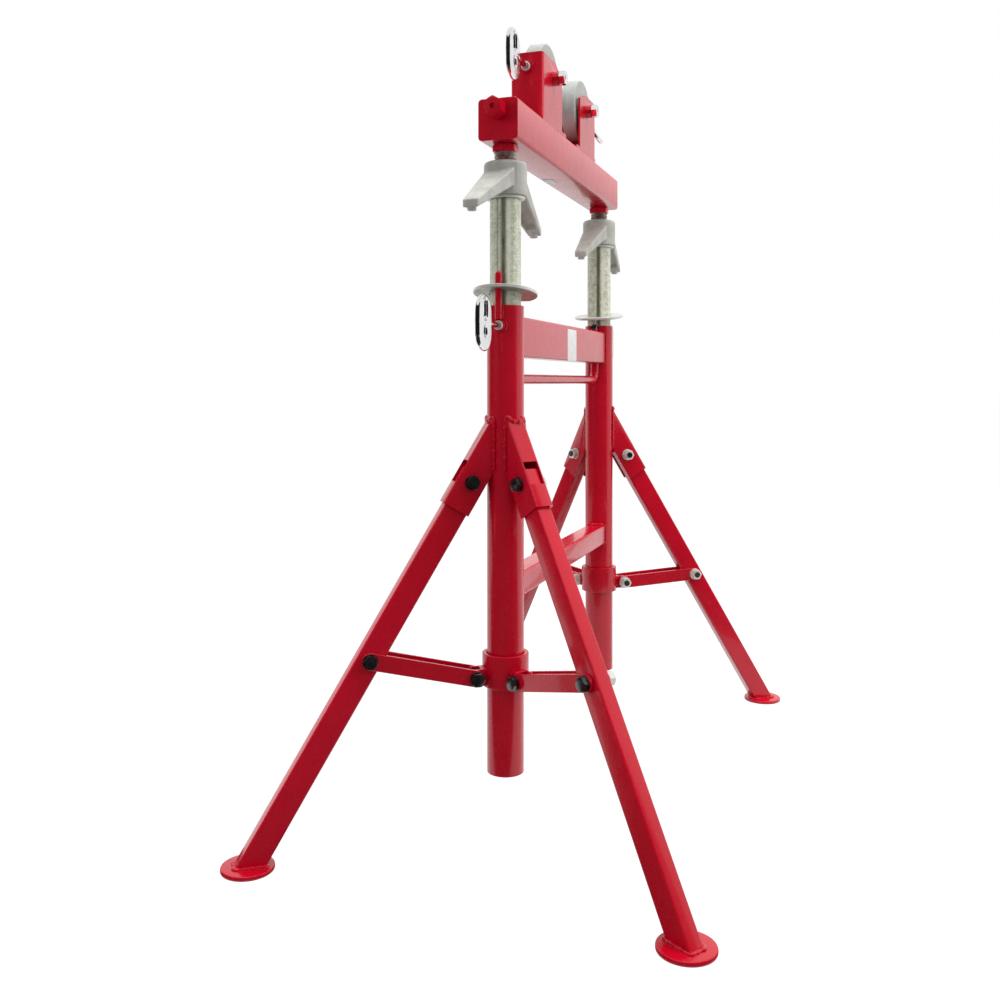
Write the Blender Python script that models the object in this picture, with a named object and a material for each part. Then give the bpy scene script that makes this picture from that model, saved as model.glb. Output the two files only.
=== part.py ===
"""Pipe jack stand: two tubular posts on folding legs carry a beam with two rollers.

Metres, +Z up. The origin is on the floor midway between the posts, and +X runs from the
near post to the far post. Each post's pieces are drawn in the post's own frame, whose +X
points outward, away from the other post.
"""

from math import atan2, cos, hypot, pi, radians, sin, sqrt, tan

import bmesh
import bpy
from mathutils import Matrix, Vector

# Clearances
FIT_GAP = 0.0003
BOLT_GAP = 0.0004
TUBE_GAP = 0.0005
COLLAR_GAP = 0.0007
THREAD_GAP = 0.0004
SEAT_SINK = 0.001
OVERRUN = 0.003

# Facets
ROUND_STEPS = 28
SMALL_STEPS = 12
CORNER_STEPS = 2
BEND_STEPS = 6
SHARP_ANGLE = radians(35)
MERGE_GAP = 0.000001

# Posts
POST_SPACING = 0.602
POST_OD = 0.057
POST_WALL = 0.004
POST_BOTTOM = 0.100
POST_TOP = 0.817

# Crossbars and carry handle between the posts
UPPER_BAR_WIDTH = 0.038
UPPER_BAR_HEIGHT = 0.0635
UPPER_BAR_TOP = 0.8025
LOWER_BAR_SIZE = 0.038
LOWER_BAR_TOP = 0.403
BAR_WALL = 0.003
BAR_CORNER = 0.004
HANDLE_DIAMETER = 0.016
HANDLE_SPAN = 0.528
HANDLE_DROP = 0.034
HANDLE_BEND = 0.022

# Legs, in the frame of their pivot: azimuth from the outward axis, tilt from the vertical
LEG_AZIMUTH = radians(54.34)
LEG_TILT = radians(31.04)
LEG_DEPTH = 0.038
LEG_WIDTH = 0.025
LEG_WALL = 0.0025
LEG_CORNER = 0.003
LEG_HEAD = 0.016
PIVOT_STANDOFF = 0.0287
PIVOT_HEIGHT = 0.5473
LINK_POINT = 0.3016
FOOT_DIAMETER = 0.077
FOOT_THICKNESS = 0.006
FOOT_EDGE = 0.0015

# Leg brackets, channels that are bent round the heads of the legs
BRACKET_PLATE = 0.0032
BRACKET_WEB = 0.0035
BRACKET_OPEN_EDGE = 0.021
BRACKET_BELOW = 0.047
BRACKET_CORNER = 0.0035
WINDOW_ABOVE = 0.026
WINDOW_BELOW = 0.011

# Bolts
BOLT_DIAMETER = 0.012
BOLT_HEAD = 0.0075
BOLT_FLATS = 0.019
NUT_HEIGHT = 0.010
WASHER_DIAMETER = 0.023
WASHER_THICKNESS = 0.0022
BOLT_END = 0.003
END_CHAMFER = 0.001

# Sliding collars and their links
COLLAR_WALL = 0.0068
COLLAR_HEIGHT = 0.050
COLLAR_BOLT_RISE = 0.016
COLLAR_BOLT_HEIGHT = {"near": 0.250, "far": 0.280}
EAR_REACH = 0.0141
EAR_PLATE = 0.004
EAR_WEB = 0.004
LINK_WIDTH = 0.025
LINK_THICKNESS = 0.005

# Inner tubes and guide bolts
TUBE_WALL = 0.004
TUBE_TOP = 0.9807
TUBE_LENGTH = 0.616
GROOVE_WIDTH = 0.0127
GROOVE_DEPTH = 0.0024
GUIDE_HEIGHT = 0.812
GUIDE_DIAMETER = 0.008
GUIDE_FLATS = 0.016
GUIDE_HEAD = 0.0065

# Clutch discs and the stop rods that run through them
DISC_DIAMETER = 0.100
DISC_THICKNESS = 0.005
DISC_TILT = radians(10)
DISC_HEIGHT = 0.837
DISC_CHORD = 0.043
ROD_DIAMETER = 0.0105
ROD_TOP = 0.868
ROD_SLOT_GAP = 0.0009

# Pull pins: boss and neck on the post or carriage, plunger and oval ring
PIN_HEIGHT = 0.786
PIN_BOSS_DIAMETER = 0.019
PIN_BOSS_LENGTH = 0.0045
PIN_NECK_DIAMETER = 0.0145
PIN_NECK_LENGTH = 0.0075
PLUNGER_DIAMETER = 0.009
RING_STANDOFF = 0.043
RING_WIDTH = 0.054
RING_HEIGHT = 0.083
RING_THICKNESS = 0.008
RING_EDGE = 0.002
RING_BRIDGE = 0.011
UPPER_HOLE_WIDTH = 0.017
UPPER_HOLE_HEIGHT = 0.027
LOWER_HOLE_WIDTH = 0.012
LOWER_HOLE_HEIGHT = 0.013
HOLE_CORNER_SHARE = 0.45
RING_LEAN = radians(-35)

# Thrust rings, wing nuts and lift screws, stacked on the inner tubes
THRUST_DIAMETER = 0.061
THRUST_THICKNESS = 0.004
LIFT_SCREW_DIAMETER = 0.035
LIFT_SCREW_SHOWS = 0.0155
LIFT_SCREW_BELOW = 0.112
COUPLING_FLATS = 0.036
COUPLING_HEIGHT = 0.0122
WING_HUB_DIAMETER = 0.067
WING_HUB_HEIGHT = 0.0527
WING_HUB_ROUND = 0.005
WING_ROOT_TOP = 0.0347
WING_ROOT_WIDTH = 0.045
WING_TIP_WIDTH = 0.023
WING_ROOT_DEPTH = 0.026
WING_TIP_DEPTH = 0.012
WING_REACH = 0.152
WING_SLOPE = radians(28)
WING_SHELL = 0.0045
WING_POCKET_START = 0.037
WING_POCKET_END = 0.134
LUG_DIAMETER = 0.0135
LUG_INSET = 0.007
LUG_DROP = 0.0065

# Beam and adjusting screw
BEAM_SIZE = 0.0635
BEAM_LENGTH = 0.674
BEAM_WALL = 0.004
BEAM_CORNER = 0.005
SLOT_WIDTH = 0.0155
SCREW_RISE = 0.0455
SCREW_DIAMETER = 0.020
DRIVE_FLATS = 0.0277
DRIVE_LENGTH = 0.025
DRIVE_DIMPLE = 0.008
DRIVE_DIMPLE_DEPTH = 0.004

# Roller carriages, in a frame at the axle whose +X points inward
AXLE_X = {"near": -0.130, "far": 0.092}
CARRIAGE_OUTWARD = 0.096
CARRIAGE_INWARD = 0.030
CARRIAGE_WIDTH = 0.056
CARRIAGE_HEIGHT = 0.1117
CARRIAGE_PLATE = 0.0035
CARRIAGE_CORNER = 0.0055
CARRIAGE_OUTER = 0.0645
CARRIAGE_INNER = 0.050
CARRIAGE_BASE = 0.006
CARRIAGE_BASE_INNER = 0.075
TOP_CUT_SHARES = ((0.65, 0.0), (0.85, 0.08), (1.0, 0.14))
AXLE_RISE = 0.0832
CARRIAGE_PIN_RISE = 0.0878
AXLE_BOSS_DIAMETER = 0.024
AXLE_BOSS_LENGTH = 0.010
NUT_BLOCK = 0.024
TONGUE_WIDTH = 0.014
TONGUE_LENGTH = 0.030
TONGUE_END_GAP = 0.004

# Rollers
WHEEL_RADIUS = 0.059
WHEEL_WIDTH = 0.027
WHEEL_EDGE = 0.002
WHEEL_OFFSET = -0.006
WHEEL_HUB_DIAMETER = 0.032
AXLE_DIAMETER = 0.016
AXLE_FLATS = 0.022
AXLE_NUT = 0.011
AXLE_HEAD = 0.009

# Sizes that follow from the ones above
POST_RADIUS = POST_OD / 2
POST_BORE = POST_RADIUS - POST_WALL
TUBE_RADIUS = POST_BORE - TUBE_GAP
PIVOT_RADIUS = POST_RADIUS + PIVOT_STANDOFF
LINK_SIDE = LEG_WIDTH / 2 + FIT_GAP
COLLAR_BORE = POST_RADIUS + COLLAR_GAP
COLLAR_RADIUS = COLLAR_BORE + COLLAR_WALL
EAR_RADIUS = COLLAR_RADIUS + EAR_REACH
GROOVE_FLOOR = TUBE_RADIUS - GROOVE_DEPTH
THRUST_BASE = TUBE_TOP + FIT_GAP
WING_BASE = THRUST_BASE + THRUST_THICKNESS + FIT_GAP
COUPLING_BASE = WING_BASE + WING_HUB_HEIGHT + LIFT_SCREW_SHOWS
BEAM_BASE = COUPLING_BASE + COUPLING_HEIGHT + FIT_GAP
SCREW_HEIGHT = BEAM_BASE + SCREW_RISE
CARRIAGE_SEAT = BEAM_BASE + BEAM_SIZE + FIT_GAP
ROD_RADIUS_OUT = POST_RADIUS + ROD_DIAMETER / 2 - SEAT_SINK

# Colour, roughness and metallic value of each finish
FINISHES = {
    "red_paint": ((0.50, 0.006, 0.018), 0.35, 0.0),
    "zinc": ((0.62, 0.62, 0.56), 0.35, 1.0),
    "chrome": ((0.78, 0.78, 0.78), 0.12, 1.0),
    "black_steel": ((0.02, 0.02, 0.022), 0.45, 0.6),
    "cast_grey": ((0.36, 0.36, 0.34), 0.6, 0.3),
    "grey_wheel": ((0.55, 0.56, 0.54), 0.55, 0.0),
}

SIDES = {"near": -1, "far": 1}
HERE = Matrix.Identity(4)
ALONG_X = Matrix.Rotation(pi / 2, 4, "Y")
ALONG_Y = Matrix.Rotation(-pi / 2, 4, "X")
UPRIGHT = Matrix.Rotation(pi / 2, 4, "X")


def clear_scene():
    """Remove every object, so that the model starts from nothing."""
    for old in list(bpy.data.objects):
        bpy.data.objects.remove(old, do_unlink=True)


def shift(x, y, z):
    """A frame moved to the point given."""
    return Matrix.Translation((x, y, z))


def solid(bm, frame=HERE):
    """Turn a bmesh into an object, in the frame given, with its faces pointing out."""
    bmesh.ops.transform(bm, matrix=frame, verts=bm.verts)
    bmesh.ops.recalc_face_normals(bm, faces=bm.faces)
    mesh = bpy.data.meshes.new("solid")
    bm.to_mesh(mesh)
    bm.free()
    made = bpy.data.objects.new("solid", mesh)
    bpy.context.scene.collection.objects.link(made)
    return made


def settle(piece):
    """Apply the modifiers of a piece."""
    graph = bpy.context.evaluated_depsgraph_get()
    mesh = bpy.data.meshes.new_from_object(piece.evaluated_get(graph))
    piece.modifiers.clear()
    piece.data = mesh


def combine(piece, tools, operation):
    """Join solids to a piece, or cut them from it, with the exact Boolean."""
    for tool in tools:
        step = piece.modifiers.new("boolean", "BOOLEAN")
        step.operation = operation
        step.solver = "EXACT"
        step.object = tool
    settle(piece)
    for tool in tools:
        bpy.data.objects.remove(tool, do_unlink=True)
    return piece


def join(piece, *tools):
    """Weld the solids to the piece."""
    return combine(piece, tools, "UNION")


def cut(piece, *tools):
    """Take the solids out of the piece."""
    return combine(piece, tools, "DIFFERENCE")


def arc(centre, radius, start, end, steps):
    """Points of an arc about a centre, both ends included."""
    angles = [start + (end - start) * step / steps for step in range(steps + 1)]
    return [(centre[0] + radius * cos(a), centre[1] + radius * sin(a)) for a in angles]


def circle(radius, steps=SMALL_STEPS):
    """Points round a whole circle about zero."""
    return arc((0, 0), radius, 0, 2 * pi, steps)[:-1]


def hexagon(flats):
    """Corners of a hexagon, from its size across the flats; one corner is on +X."""
    return circle(flats / sqrt(3), 6)


def rectangle(width, height):
    """Corners of a rectangle about zero."""
    x, y = width / 2, height / 2
    return [(x, y), (-x, y), (-x, -y), (x, -y)]


def rounded_rectangle(width, height, radius, steps=CORNER_STEPS):
    """A rectangle about zero with a quarter circle at each corner."""
    x, y = width / 2 - radius, height / 2 - radius
    points = []
    for quarter, centre in enumerate([(x, y), (-x, y), (-x, -y), (x, -y)]):
        start = quarter * pi / 2
        points += arc(centre, radius, start, start + pi / 2, steps)
    return points


def prism(outline, low, high, frame=HERE):
    """Extrude an outline along Z, from one height to another."""
    bm = bmesh.new()
    face = bm.faces.new([bm.verts.new((x, y, low)) for x, y in outline])
    grown = bmesh.ops.extrude_face_region(bm, geom=[face])["geom"]
    tops = [part for part in grown if isinstance(part, bmesh.types.BMVert)]
    bmesh.ops.translate(bm, verts=tops, vec=(0, 0, high - low))
    return solid(bm, frame)


def block(low, high, frame=HERE):
    """A box between two opposite corners."""
    size = [top - bottom for bottom, top in zip(low, high)]
    middle = [(top + bottom) / 2 for bottom, top in zip(low, high)]
    bm = bmesh.new()
    bmesh.ops.create_cube(bm, size=1)
    scale = Matrix.Diagonal((*size, 1))
    bmesh.ops.transform(bm, matrix=Matrix.Translation(middle) @ scale, verts=bm.verts)
    return solid(bm, frame)


def turned(profile, frame=HERE, steps=SMALL_STEPS, ring=False):
    """Spin a profile of (radius, height) points round Z; a ring profile closes on itself."""
    bm = bmesh.new()
    points = [bm.verts.new((radius, 0, height)) for radius, height in profile]
    edges = [bm.edges.new(pair) for pair in zip(points, points[1:])]
    if ring:
        edges.append(bm.edges.new((points[-1], points[0])))
    bmesh.ops.spin(
        bm, geom=points + edges, axis=(0, 0, 1), cent=(0, 0, 0),
        steps=steps, angle=2 * pi, use_merge=True,
    )
    bmesh.ops.remove_doubles(bm, verts=bm.verts, dist=MERGE_GAP)
    return solid(bm, frame)


def rod(radius, low, high, frame=HERE, steps=SMALL_STEPS):
    """A plain cylinder along Z."""
    return turned([(0, low), (radius, low), (radius, high), (0, high)], frame, steps)


def pipe(bore, radius, low, high):
    """A tube along Z."""
    profile = [(bore, low), (radius, low), (radius, high), (bore, high)]
    return turned(profile, steps=ROUND_STEPS, ring=True)


def loft(sections, frame=HERE):
    """Bridge sections, each a ring of as many points, and close the two ends."""
    bm = bmesh.new()
    rings = [[bm.verts.new(point) for point in section] for section in sections]
    edges = []
    for ring in rings:
        edges += [bm.edges.new(pair) for pair in zip(ring, ring[1:] + ring[:1])]
    bmesh.ops.bridge_loops(bm, edges=edges)
    bm.faces.new(rings[0])
    bm.faces.new(rings[-1])
    return solid(bm, frame)


def soften(piece, width):
    """Bevel the sharp edges of a piece by one flat."""
    step = piece.modifiers.new("bevel", "BEVEL")
    step.width = width
    step.segments = 1
    step.limit_method = "ANGLE"
    step.angle_limit = SHARP_ANGLE
    settle(piece)
    return piece


def finish(piece, name, finish_name, frame=HERE, origin=(0, 0, 0)):
    """Name and paint a piece, and put its origin at a point of its frame."""
    colour, roughness, metallic = FINISHES[finish_name]
    paint = bpy.data.materials.new(name + "_" + finish_name)
    paint.use_nodes = True
    shader = paint.node_tree.nodes["Principled BSDF"]
    shader.inputs["Base Color"].default_value = (*colour, 1)
    shader.inputs["Roughness"].default_value = roughness
    shader.inputs["Metallic"].default_value = metallic
    paint.diffuse_color = (*colour, 1)
    seat = Matrix.Translation(origin)
    piece.data.transform(seat.inverted())
    piece.data.materials.clear()
    piece.data.materials.append(paint)
    piece.data.shade_smooth()
    piece.data.set_sharp_from_angle(angle=SHARP_ANGLE)
    piece.name = name
    piece.data.name = name
    piece.matrix_world = frame @ seat
    return piece


def copy_of(piece, name, frame, origin=(0, 0, 0)):
    """Another object with the same mesh."""
    twin = bpy.data.objects.new(name, piece.data)
    bpy.context.scene.collection.objects.link(twin)
    twin.matrix_world = frame @ Matrix.Translation(origin)
    return twin


def post_frame(side):
    """The frame of a post: origin on the floor under it, +X outward."""
    sign = SIDES[side]
    facing = Matrix.Rotation(0 if sign > 0 else pi, 4, "Z")
    return shift(sign * POST_SPACING / 2, 0, 0) @ facing


def leg_frame(side, hand):
    """The frame of a leg: origin under the post, +X the way the leg spreads."""
    return post_frame(side) @ Matrix.Rotation(hand * LEG_AZIMUTH, 4, "Z")


def leg_name(side, hand):
    """Such as near_left: left is +Y, seen from the near post."""
    return side + ("_left" if SIDES[side] * hand > 0 else "_right")


def legs():
    """The four legs, each as its side, its hand and its name."""
    return [(side, hand, leg_name(side, hand)) for side in SIDES for hand in (1, -1)]


def handed(hand):
    """Turns a piece over about its own X, so that bolt heads face outward on every leg."""
    return Matrix.Rotation(0 if hand > 0 else pi, 4, "X")


def pull_pin_base(seat):
    """Boss and neck along +X that hold a pull pin, from a surface at x=seat."""
    boss = rod(PIN_BOSS_DIAMETER / 2, seat - SEAT_SINK, seat + PIN_BOSS_LENGTH, ALONG_X)
    neck = rod(PIN_NECK_DIAMETER / 2, seat, seat + PIN_NECK_LENGTH, ALONG_X)
    return join(boss, neck)


def pull_pin_bore(seat, inner):
    """The hole that a plunger slides in."""
    radius = PLUNGER_DIAMETER / 2 + BOLT_GAP
    return rod(radius, inner, seat + PIN_NECK_LENGTH + OVERRUN, ALONG_X)


def build_posts():
    """Post tubes with their stop rod, pull pin boss, pin hole and guide bolt hole."""
    post = pipe(POST_BORE, POST_RADIUS, POST_BOTTOM, POST_TOP)
    rod_foot = PIN_HEIGHT + PLUNGER_DIAMETER
    tip = ROD_DIAMETER / 2
    stop_rod = turned(
        [(0, rod_foot), (tip, rod_foot)]
        + arc((0, ROD_TOP - tip), tip, 0, pi / 2, CORNER_STEPS)[:-1]
        + [(0, ROD_TOP)],
        shift(ROD_RADIUS_OUT, 0, 0), steps=SMALL_STEPS,
    )
    lift = shift(0, 0, PIN_HEIGHT)
    base = pull_pin_base(POST_RADIUS)
    base.data.transform(lift)
    bore = pull_pin_bore(POST_RADIUS, POST_BORE - OVERRUN)
    bore.data.transform(lift)
    guide_hole = rod(GUIDE_DIAMETER / 2 + BOLT_GAP, -POST_RADIUS - OVERRUN,
                     -POST_BORE + OVERRUN, shift(0, 0, GUIDE_HEIGHT) @ ALONG_X)
    join(post, stop_rod, base)
    cut(post, bore, guide_hole)
    finish(post, "near_post", "red_paint", post_frame("near"))
    copy_of(post, "far_post", post_frame("far"))


def crossbar(width, height, top, name):
    """A rectangular tube whose ends are coped to the two posts."""
    frame = shift(0, 0, top - height / 2) @ ALONG_X
    reach = POST_SPACING / 2
    bar = prism(rounded_rectangle(height, width, BAR_CORNER), -reach, reach, frame)
    inner = rectangle(height - 2 * BAR_WALL, width - 2 * BAR_WALL)
    hollow = prism(inner, -reach - OVERRUN, reach + OVERRUN, frame)
    copes = []
    for sign in SIDES.values():
        seat = shift(sign * reach, 0, 0)
        copes.append(rod(POST_RADIUS + FIT_GAP, top - height - OVERRUN, top + OVERRUN,
                         seat, ROUND_STEPS))
    cut(bar, hollow, *copes)
    finish(bar, name, "red_paint")


def build_carry_handle():
    """A round bar under the upper crossbar, with both ends bent up to meet it."""
    top = UPPER_BAR_TOP - UPPER_BAR_HEIGHT - FIT_GAP
    low = top - HANDLE_DROP
    half = HANDLE_SPAN / 2
    inner = half - HANDLE_BEND
    middle = low + HANDLE_BEND
    path = [(-half, top)]
    path += arc((-inner, middle), HANDLE_BEND, pi, 1.5 * pi, BEND_STEPS)
    path += arc((inner, middle), HANDLE_BEND, 1.5 * pi, 2 * pi, BEND_STEPS)
    path += [(half, top)]
    curve = bpy.data.curves.new("bar", "CURVE")
    curve.dimensions = "3D"
    curve.bevel_depth = HANDLE_DIAMETER / 2
    curve.bevel_resolution = 4
    curve.use_fill_caps = True
    line = curve.splines.new("POLY")
    line.points.add(len(path) - 1)
    for point, (x, z) in zip(line.points, path):
        point.co = (x, 0, z, 1)
    bent = bpy.data.objects.new("bar", curve)
    bpy.context.scene.collection.objects.link(bent)
    graph = bpy.context.evaluated_depsgraph_get()
    mesh = bpy.data.meshes.new_from_object(bent.evaluated_get(graph))
    bpy.data.objects.remove(bent, do_unlink=True)
    bm = bmesh.new()
    bm.from_mesh(mesh)
    bmesh.ops.remove_doubles(bm, verts=bm.verts, dist=MERGE_GAP)
    finish(solid(bm), "carry_handle", "red_paint")


def pivot_frame():
    """At a leg's pivot, in the leg's frame: +Z up along the leg, +X out from its upper face."""
    return shift(PIVOT_RADIUS, 0, PIVOT_HEIGHT) @ Matrix.Rotation(-LEG_TILT, 4, "Y")


def cross_hole(diameter, half_width, place):
    """A drill through a piece along Y, at a place in its frame."""
    return rod(diameter / 2 + BOLT_GAP, -half_width - OVERRUN, half_width + OVERRUN,
               place @ ALONG_Y)


def build_legs():
    """Rectangular leg tubes, cut level at the foot, with holes for the pivot and link bolts."""
    frame = pivot_frame()
    foot = -(PIVOT_HEIGHT / cos(LEG_TILT)) - LEG_DEPTH
    leg = prism(rounded_rectangle(LEG_DEPTH, LEG_WIDTH, LEG_CORNER), foot, LEG_HEAD, frame)
    hollow = rectangle(LEG_DEPTH - 2 * LEG_WALL, LEG_WIDTH - 2 * LEG_WALL)
    inside = prism(hollow, foot - OVERRUN, LEG_HEAD + OVERRUN, frame)
    foot_radius = PIVOT_RADIUS + PIVOT_HEIGHT * tan(LEG_TILT)
    floor = block(
        (foot_radius - FOOT_DIAMETER, -LEG_WIDTH, -FOOT_DIAMETER),
        (foot_radius + FOOT_DIAMETER, LEG_WIDTH, FOOT_THICKNESS + FIT_GAP),
    )
    holes = [cross_hole(BOLT_DIAMETER, LEG_WIDTH / 2, frame @ shift(0, 0, -drop))
             for drop in (0, LINK_POINT)]
    cut(leg, inside, floor, *holes)
    plate = turned(
        [(0, 0), (FOOT_DIAMETER / 2, 0), (FOOT_DIAMETER / 2, FOOT_THICKNESS - FOOT_EDGE),
         (FOOT_DIAMETER / 2 - FOOT_EDGE, FOOT_THICKNESS), (0, FOOT_THICKNESS)],
        shift(foot_radius, 0, 0), steps=ROUND_STEPS,
    )
    pivot = (PIVOT_RADIUS, 0, PIVOT_HEIGHT)
    place_on_legs(leg, "leg", "red_paint", pivot)
    place_on_legs(plate, "foot_plate", "red_paint", pivot)


def place_on_legs(piece, name, finish_name, origin):
    """Put one piece, drawn in a leg's frame, on all four legs."""
    first, *rest = legs()
    finish(piece, first[2] + "_" + name, finish_name, leg_frame(*first[:2]), origin)
    for side, hand, place in rest:
        copy_of(piece, place + "_" + name, leg_frame(side, hand), origin)


def build_brackets():
    """Channels round the leg heads: coped to the post, with a window in the web."""
    frame = pivot_frame()
    half = LEG_WIDTH / 2 + FIT_GAP
    outer_half = half + BRACKET_PLATE
    inner_face = LEG_DEPTH / 2 + FIT_GAP
    outer_face = inner_face + BRACKET_WEB
    cope = POST_RADIUS + FIT_GAP
    edge_radius = sqrt(cope ** 2 - outer_half ** 2) - FIT_GAP
    out_along = (PIVOT_RADIUS + outer_face * cos(LEG_TILT) - edge_radius) / sin(LEG_TILT)
    depth = outer_face + BRACKET_OPEN_EDGE + BRACKET_CORNER
    middle = outer_face - depth / 2
    channel = prism(
        rounded_rectangle(depth, 2 * outer_half, BRACKET_CORNER),
        -BRACKET_BELOW, out_along, frame @ shift(middle, 0, 0),
    )
    leg_space = block(
        (-depth, -half, -BRACKET_BELOW - OVERRUN), (inner_face, half, out_along + OVERRUN), frame)
    open_side = block(
        (-depth, -2 * outer_half, -BRACKET_BELOW - OVERRUN),
        (-BRACKET_OPEN_EDGE, 2 * outer_half, out_along + OVERRUN), frame)
    window = block(
        (0, -half, -WINDOW_BELOW), (outer_face + OVERRUN, half, WINDOW_ABOVE), frame)
    post_space = rod(cope, PIVOT_HEIGHT - out_along, PIVOT_HEIGHT + 2 * out_along,
                     steps=ROUND_STEPS)
    bolt_hole = cross_hole(BOLT_DIAMETER, outer_half, frame)
    cut(channel, leg_space, open_side, window, post_space, bolt_hole)
    place_on_legs(channel, "leg_bracket", "red_paint", (PIVOT_RADIUS, 0, PIVOT_HEIGHT))


def hex_along(flats, low, high, frame):
    """A hexagon prism along Z of the frame."""
    return prism(hexagon(flats), low, high, frame)


def bolt(half_grip, frame):
    """A bolt along Y with head, washers and nut, clamping half_grip each way."""
    seat = half_grip + FIT_GAP
    washer = seat + WASHER_THICKNESS
    radius = BOLT_DIAMETER / 2
    end = washer + NUT_HEIGHT + BOLT_END
    body = turned(
        [(0, -washer), (WASHER_DIAMETER / 2, -washer), (WASHER_DIAMETER / 2, -seat),
         (radius, -seat), (radius, seat), (WASHER_DIAMETER / 2, seat),
         (WASHER_DIAMETER / 2, washer), (radius, washer), (radius, end), (0, end)],
        frame @ ALONG_Y,
    )
    head = hex_along(BOLT_FLATS, -washer - BOLT_HEAD, SEAT_SINK - washer, frame @ ALONG_Y)
    nut = hex_along(BOLT_FLATS, washer - SEAT_SINK, washer + NUT_HEIGHT, frame @ ALONG_Y)
    return join(body, head, nut)


def build_leg_bolts():
    """The four pivot bolts; their heads are on the outer side of the legs."""
    for side, hand, place in legs():
        grip = LEG_WIDTH / 2 + FIT_GAP + BRACKET_PLATE
        piece = bolt(grip, HERE)
        frame = leg_frame(side, hand) @ shift(PIVOT_RADIUS, 0, PIVOT_HEIGHT) @ handed(hand)
        look = "black_steel" if side == "near" else "zinc"
        finish(piece, place + "_pivot_bolt", look, frame)


def build_collars():
    """Collars that slide on the posts; each has two clevis ears for the links."""
    low = -COLLAR_BOLT_RISE
    collar = pipe(COLLAR_BORE, COLLAR_RADIUS, low, low + COLLAR_HEIGHT)
    round_end = LINK_WIDTH / 2
    root = COLLAR_BORE + COLLAR_WALL / 2
    outline = [(root, round_end), (root, -round_end)]
    outline += arc((EAR_RADIUS, 0), round_end, -pi / 2, pi / 2, 2 * CORNER_STEPS)
    half = LEG_WIDTH / 2
    slot_half = half - EAR_PLATE
    for hand in (1, -1):
        turn = Matrix.Rotation(hand * LEG_AZIMUTH, 4, "Z")
        ear = prism(outline, -half, half, turn @ UPRIGHT)
        slot = block(
            (COLLAR_RADIUS + EAR_WEB, -slot_half, -LINK_WIDTH),
            (EAR_RADIUS + LINK_WIDTH, slot_half, LINK_WIDTH), turn)
        cut(ear, slot, cross_hole(BOLT_DIAMETER, half, turn @ shift(EAR_RADIUS, 0, 0)))
        join(collar, ear)
    near, far = (shift(0, 0, COLLAR_BOLT_HEIGHT[side]) for side in SIDES)
    finish(collar, "near_collar", "red_paint", post_frame("near") @ near)
    copy_of(collar, "far_collar", post_frame("far") @ far)


def link_reach(side):
    """Length and slope of a post's links, from the ear bolt to the bolt in the leg."""
    across = PIVOT_RADIUS + LINK_POINT * sin(LEG_TILT) - EAR_RADIUS
    rise = PIVOT_HEIGHT - LINK_POINT * cos(LEG_TILT) - COLLAR_BOLT_HEIGHT[side]
    return hypot(across, rise), atan2(rise, across)


def link_bar(length, face):
    """One flat bar of a link, on the face given: -1 has the bolt's head, 1 has its nut."""
    half = LINK_WIDTH / 2
    outline = arc((0, 0), half, pi / 2, 1.5 * pi, 2 * CORNER_STEPS)
    outline += arc((length, 0), half, -pi / 2, pi / 2, 2 * CORNER_STEPS)
    side = Matrix.Rotation(0 if face < 0 else pi, 4, "X") @ UPRIGHT
    outer = LINK_SIDE + LINK_THICKNESS
    bar = prism(outline, LINK_SIDE, outer, side)
    tip = side @ shift(length, 0, 0)
    washer = rod(WASHER_DIAMETER / 2, outer - SEAT_SINK, outer + WASHER_THICKNESS, tip)
    high = outer + WASHER_THICKNESS
    if face < 0:
        end = [hex_along(BOLT_FLATS, high - SEAT_SINK, high + BOLT_HEAD, tip)]
    else:
        nut = hex_along(BOLT_FLATS, high - SEAT_SINK, high + NUT_HEIGHT, tip)
        end = [nut, rod(BOLT_DIAMETER / 2, high, high + NUT_HEIGHT + BOLT_END, tip)]
    join(bar, washer, *end)
    return cut(bar, cross_hole(BOLT_DIAMETER, outer, HERE))


def build_links():
    """Two flat bars a leg, and the bolt that holds them to the collar's ear."""
    for side, hand, place in legs():
        length, slope = link_reach(side)
        ear = shift(EAR_RADIUS, 0, COLLAR_BOLT_HEIGHT[side])
        frame = leg_frame(side, hand) @ ear
        turned_over = frame @ Matrix.Rotation(-slope, 4, "Y") @ handed(hand)
        for face, word in ((-1, "outer"), (1, "inner")):
            name = place + "_" + word + "_link"
            finish(link_bar(length, face), name, "red_paint", turned_over)
        look = "black_steel" if side == "near" else "zinc"
        grip = LINK_SIDE + LINK_THICKNESS
        finish(bolt(grip, HERE), place + "_link_bolt", look, frame @ handed(hand))


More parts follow.
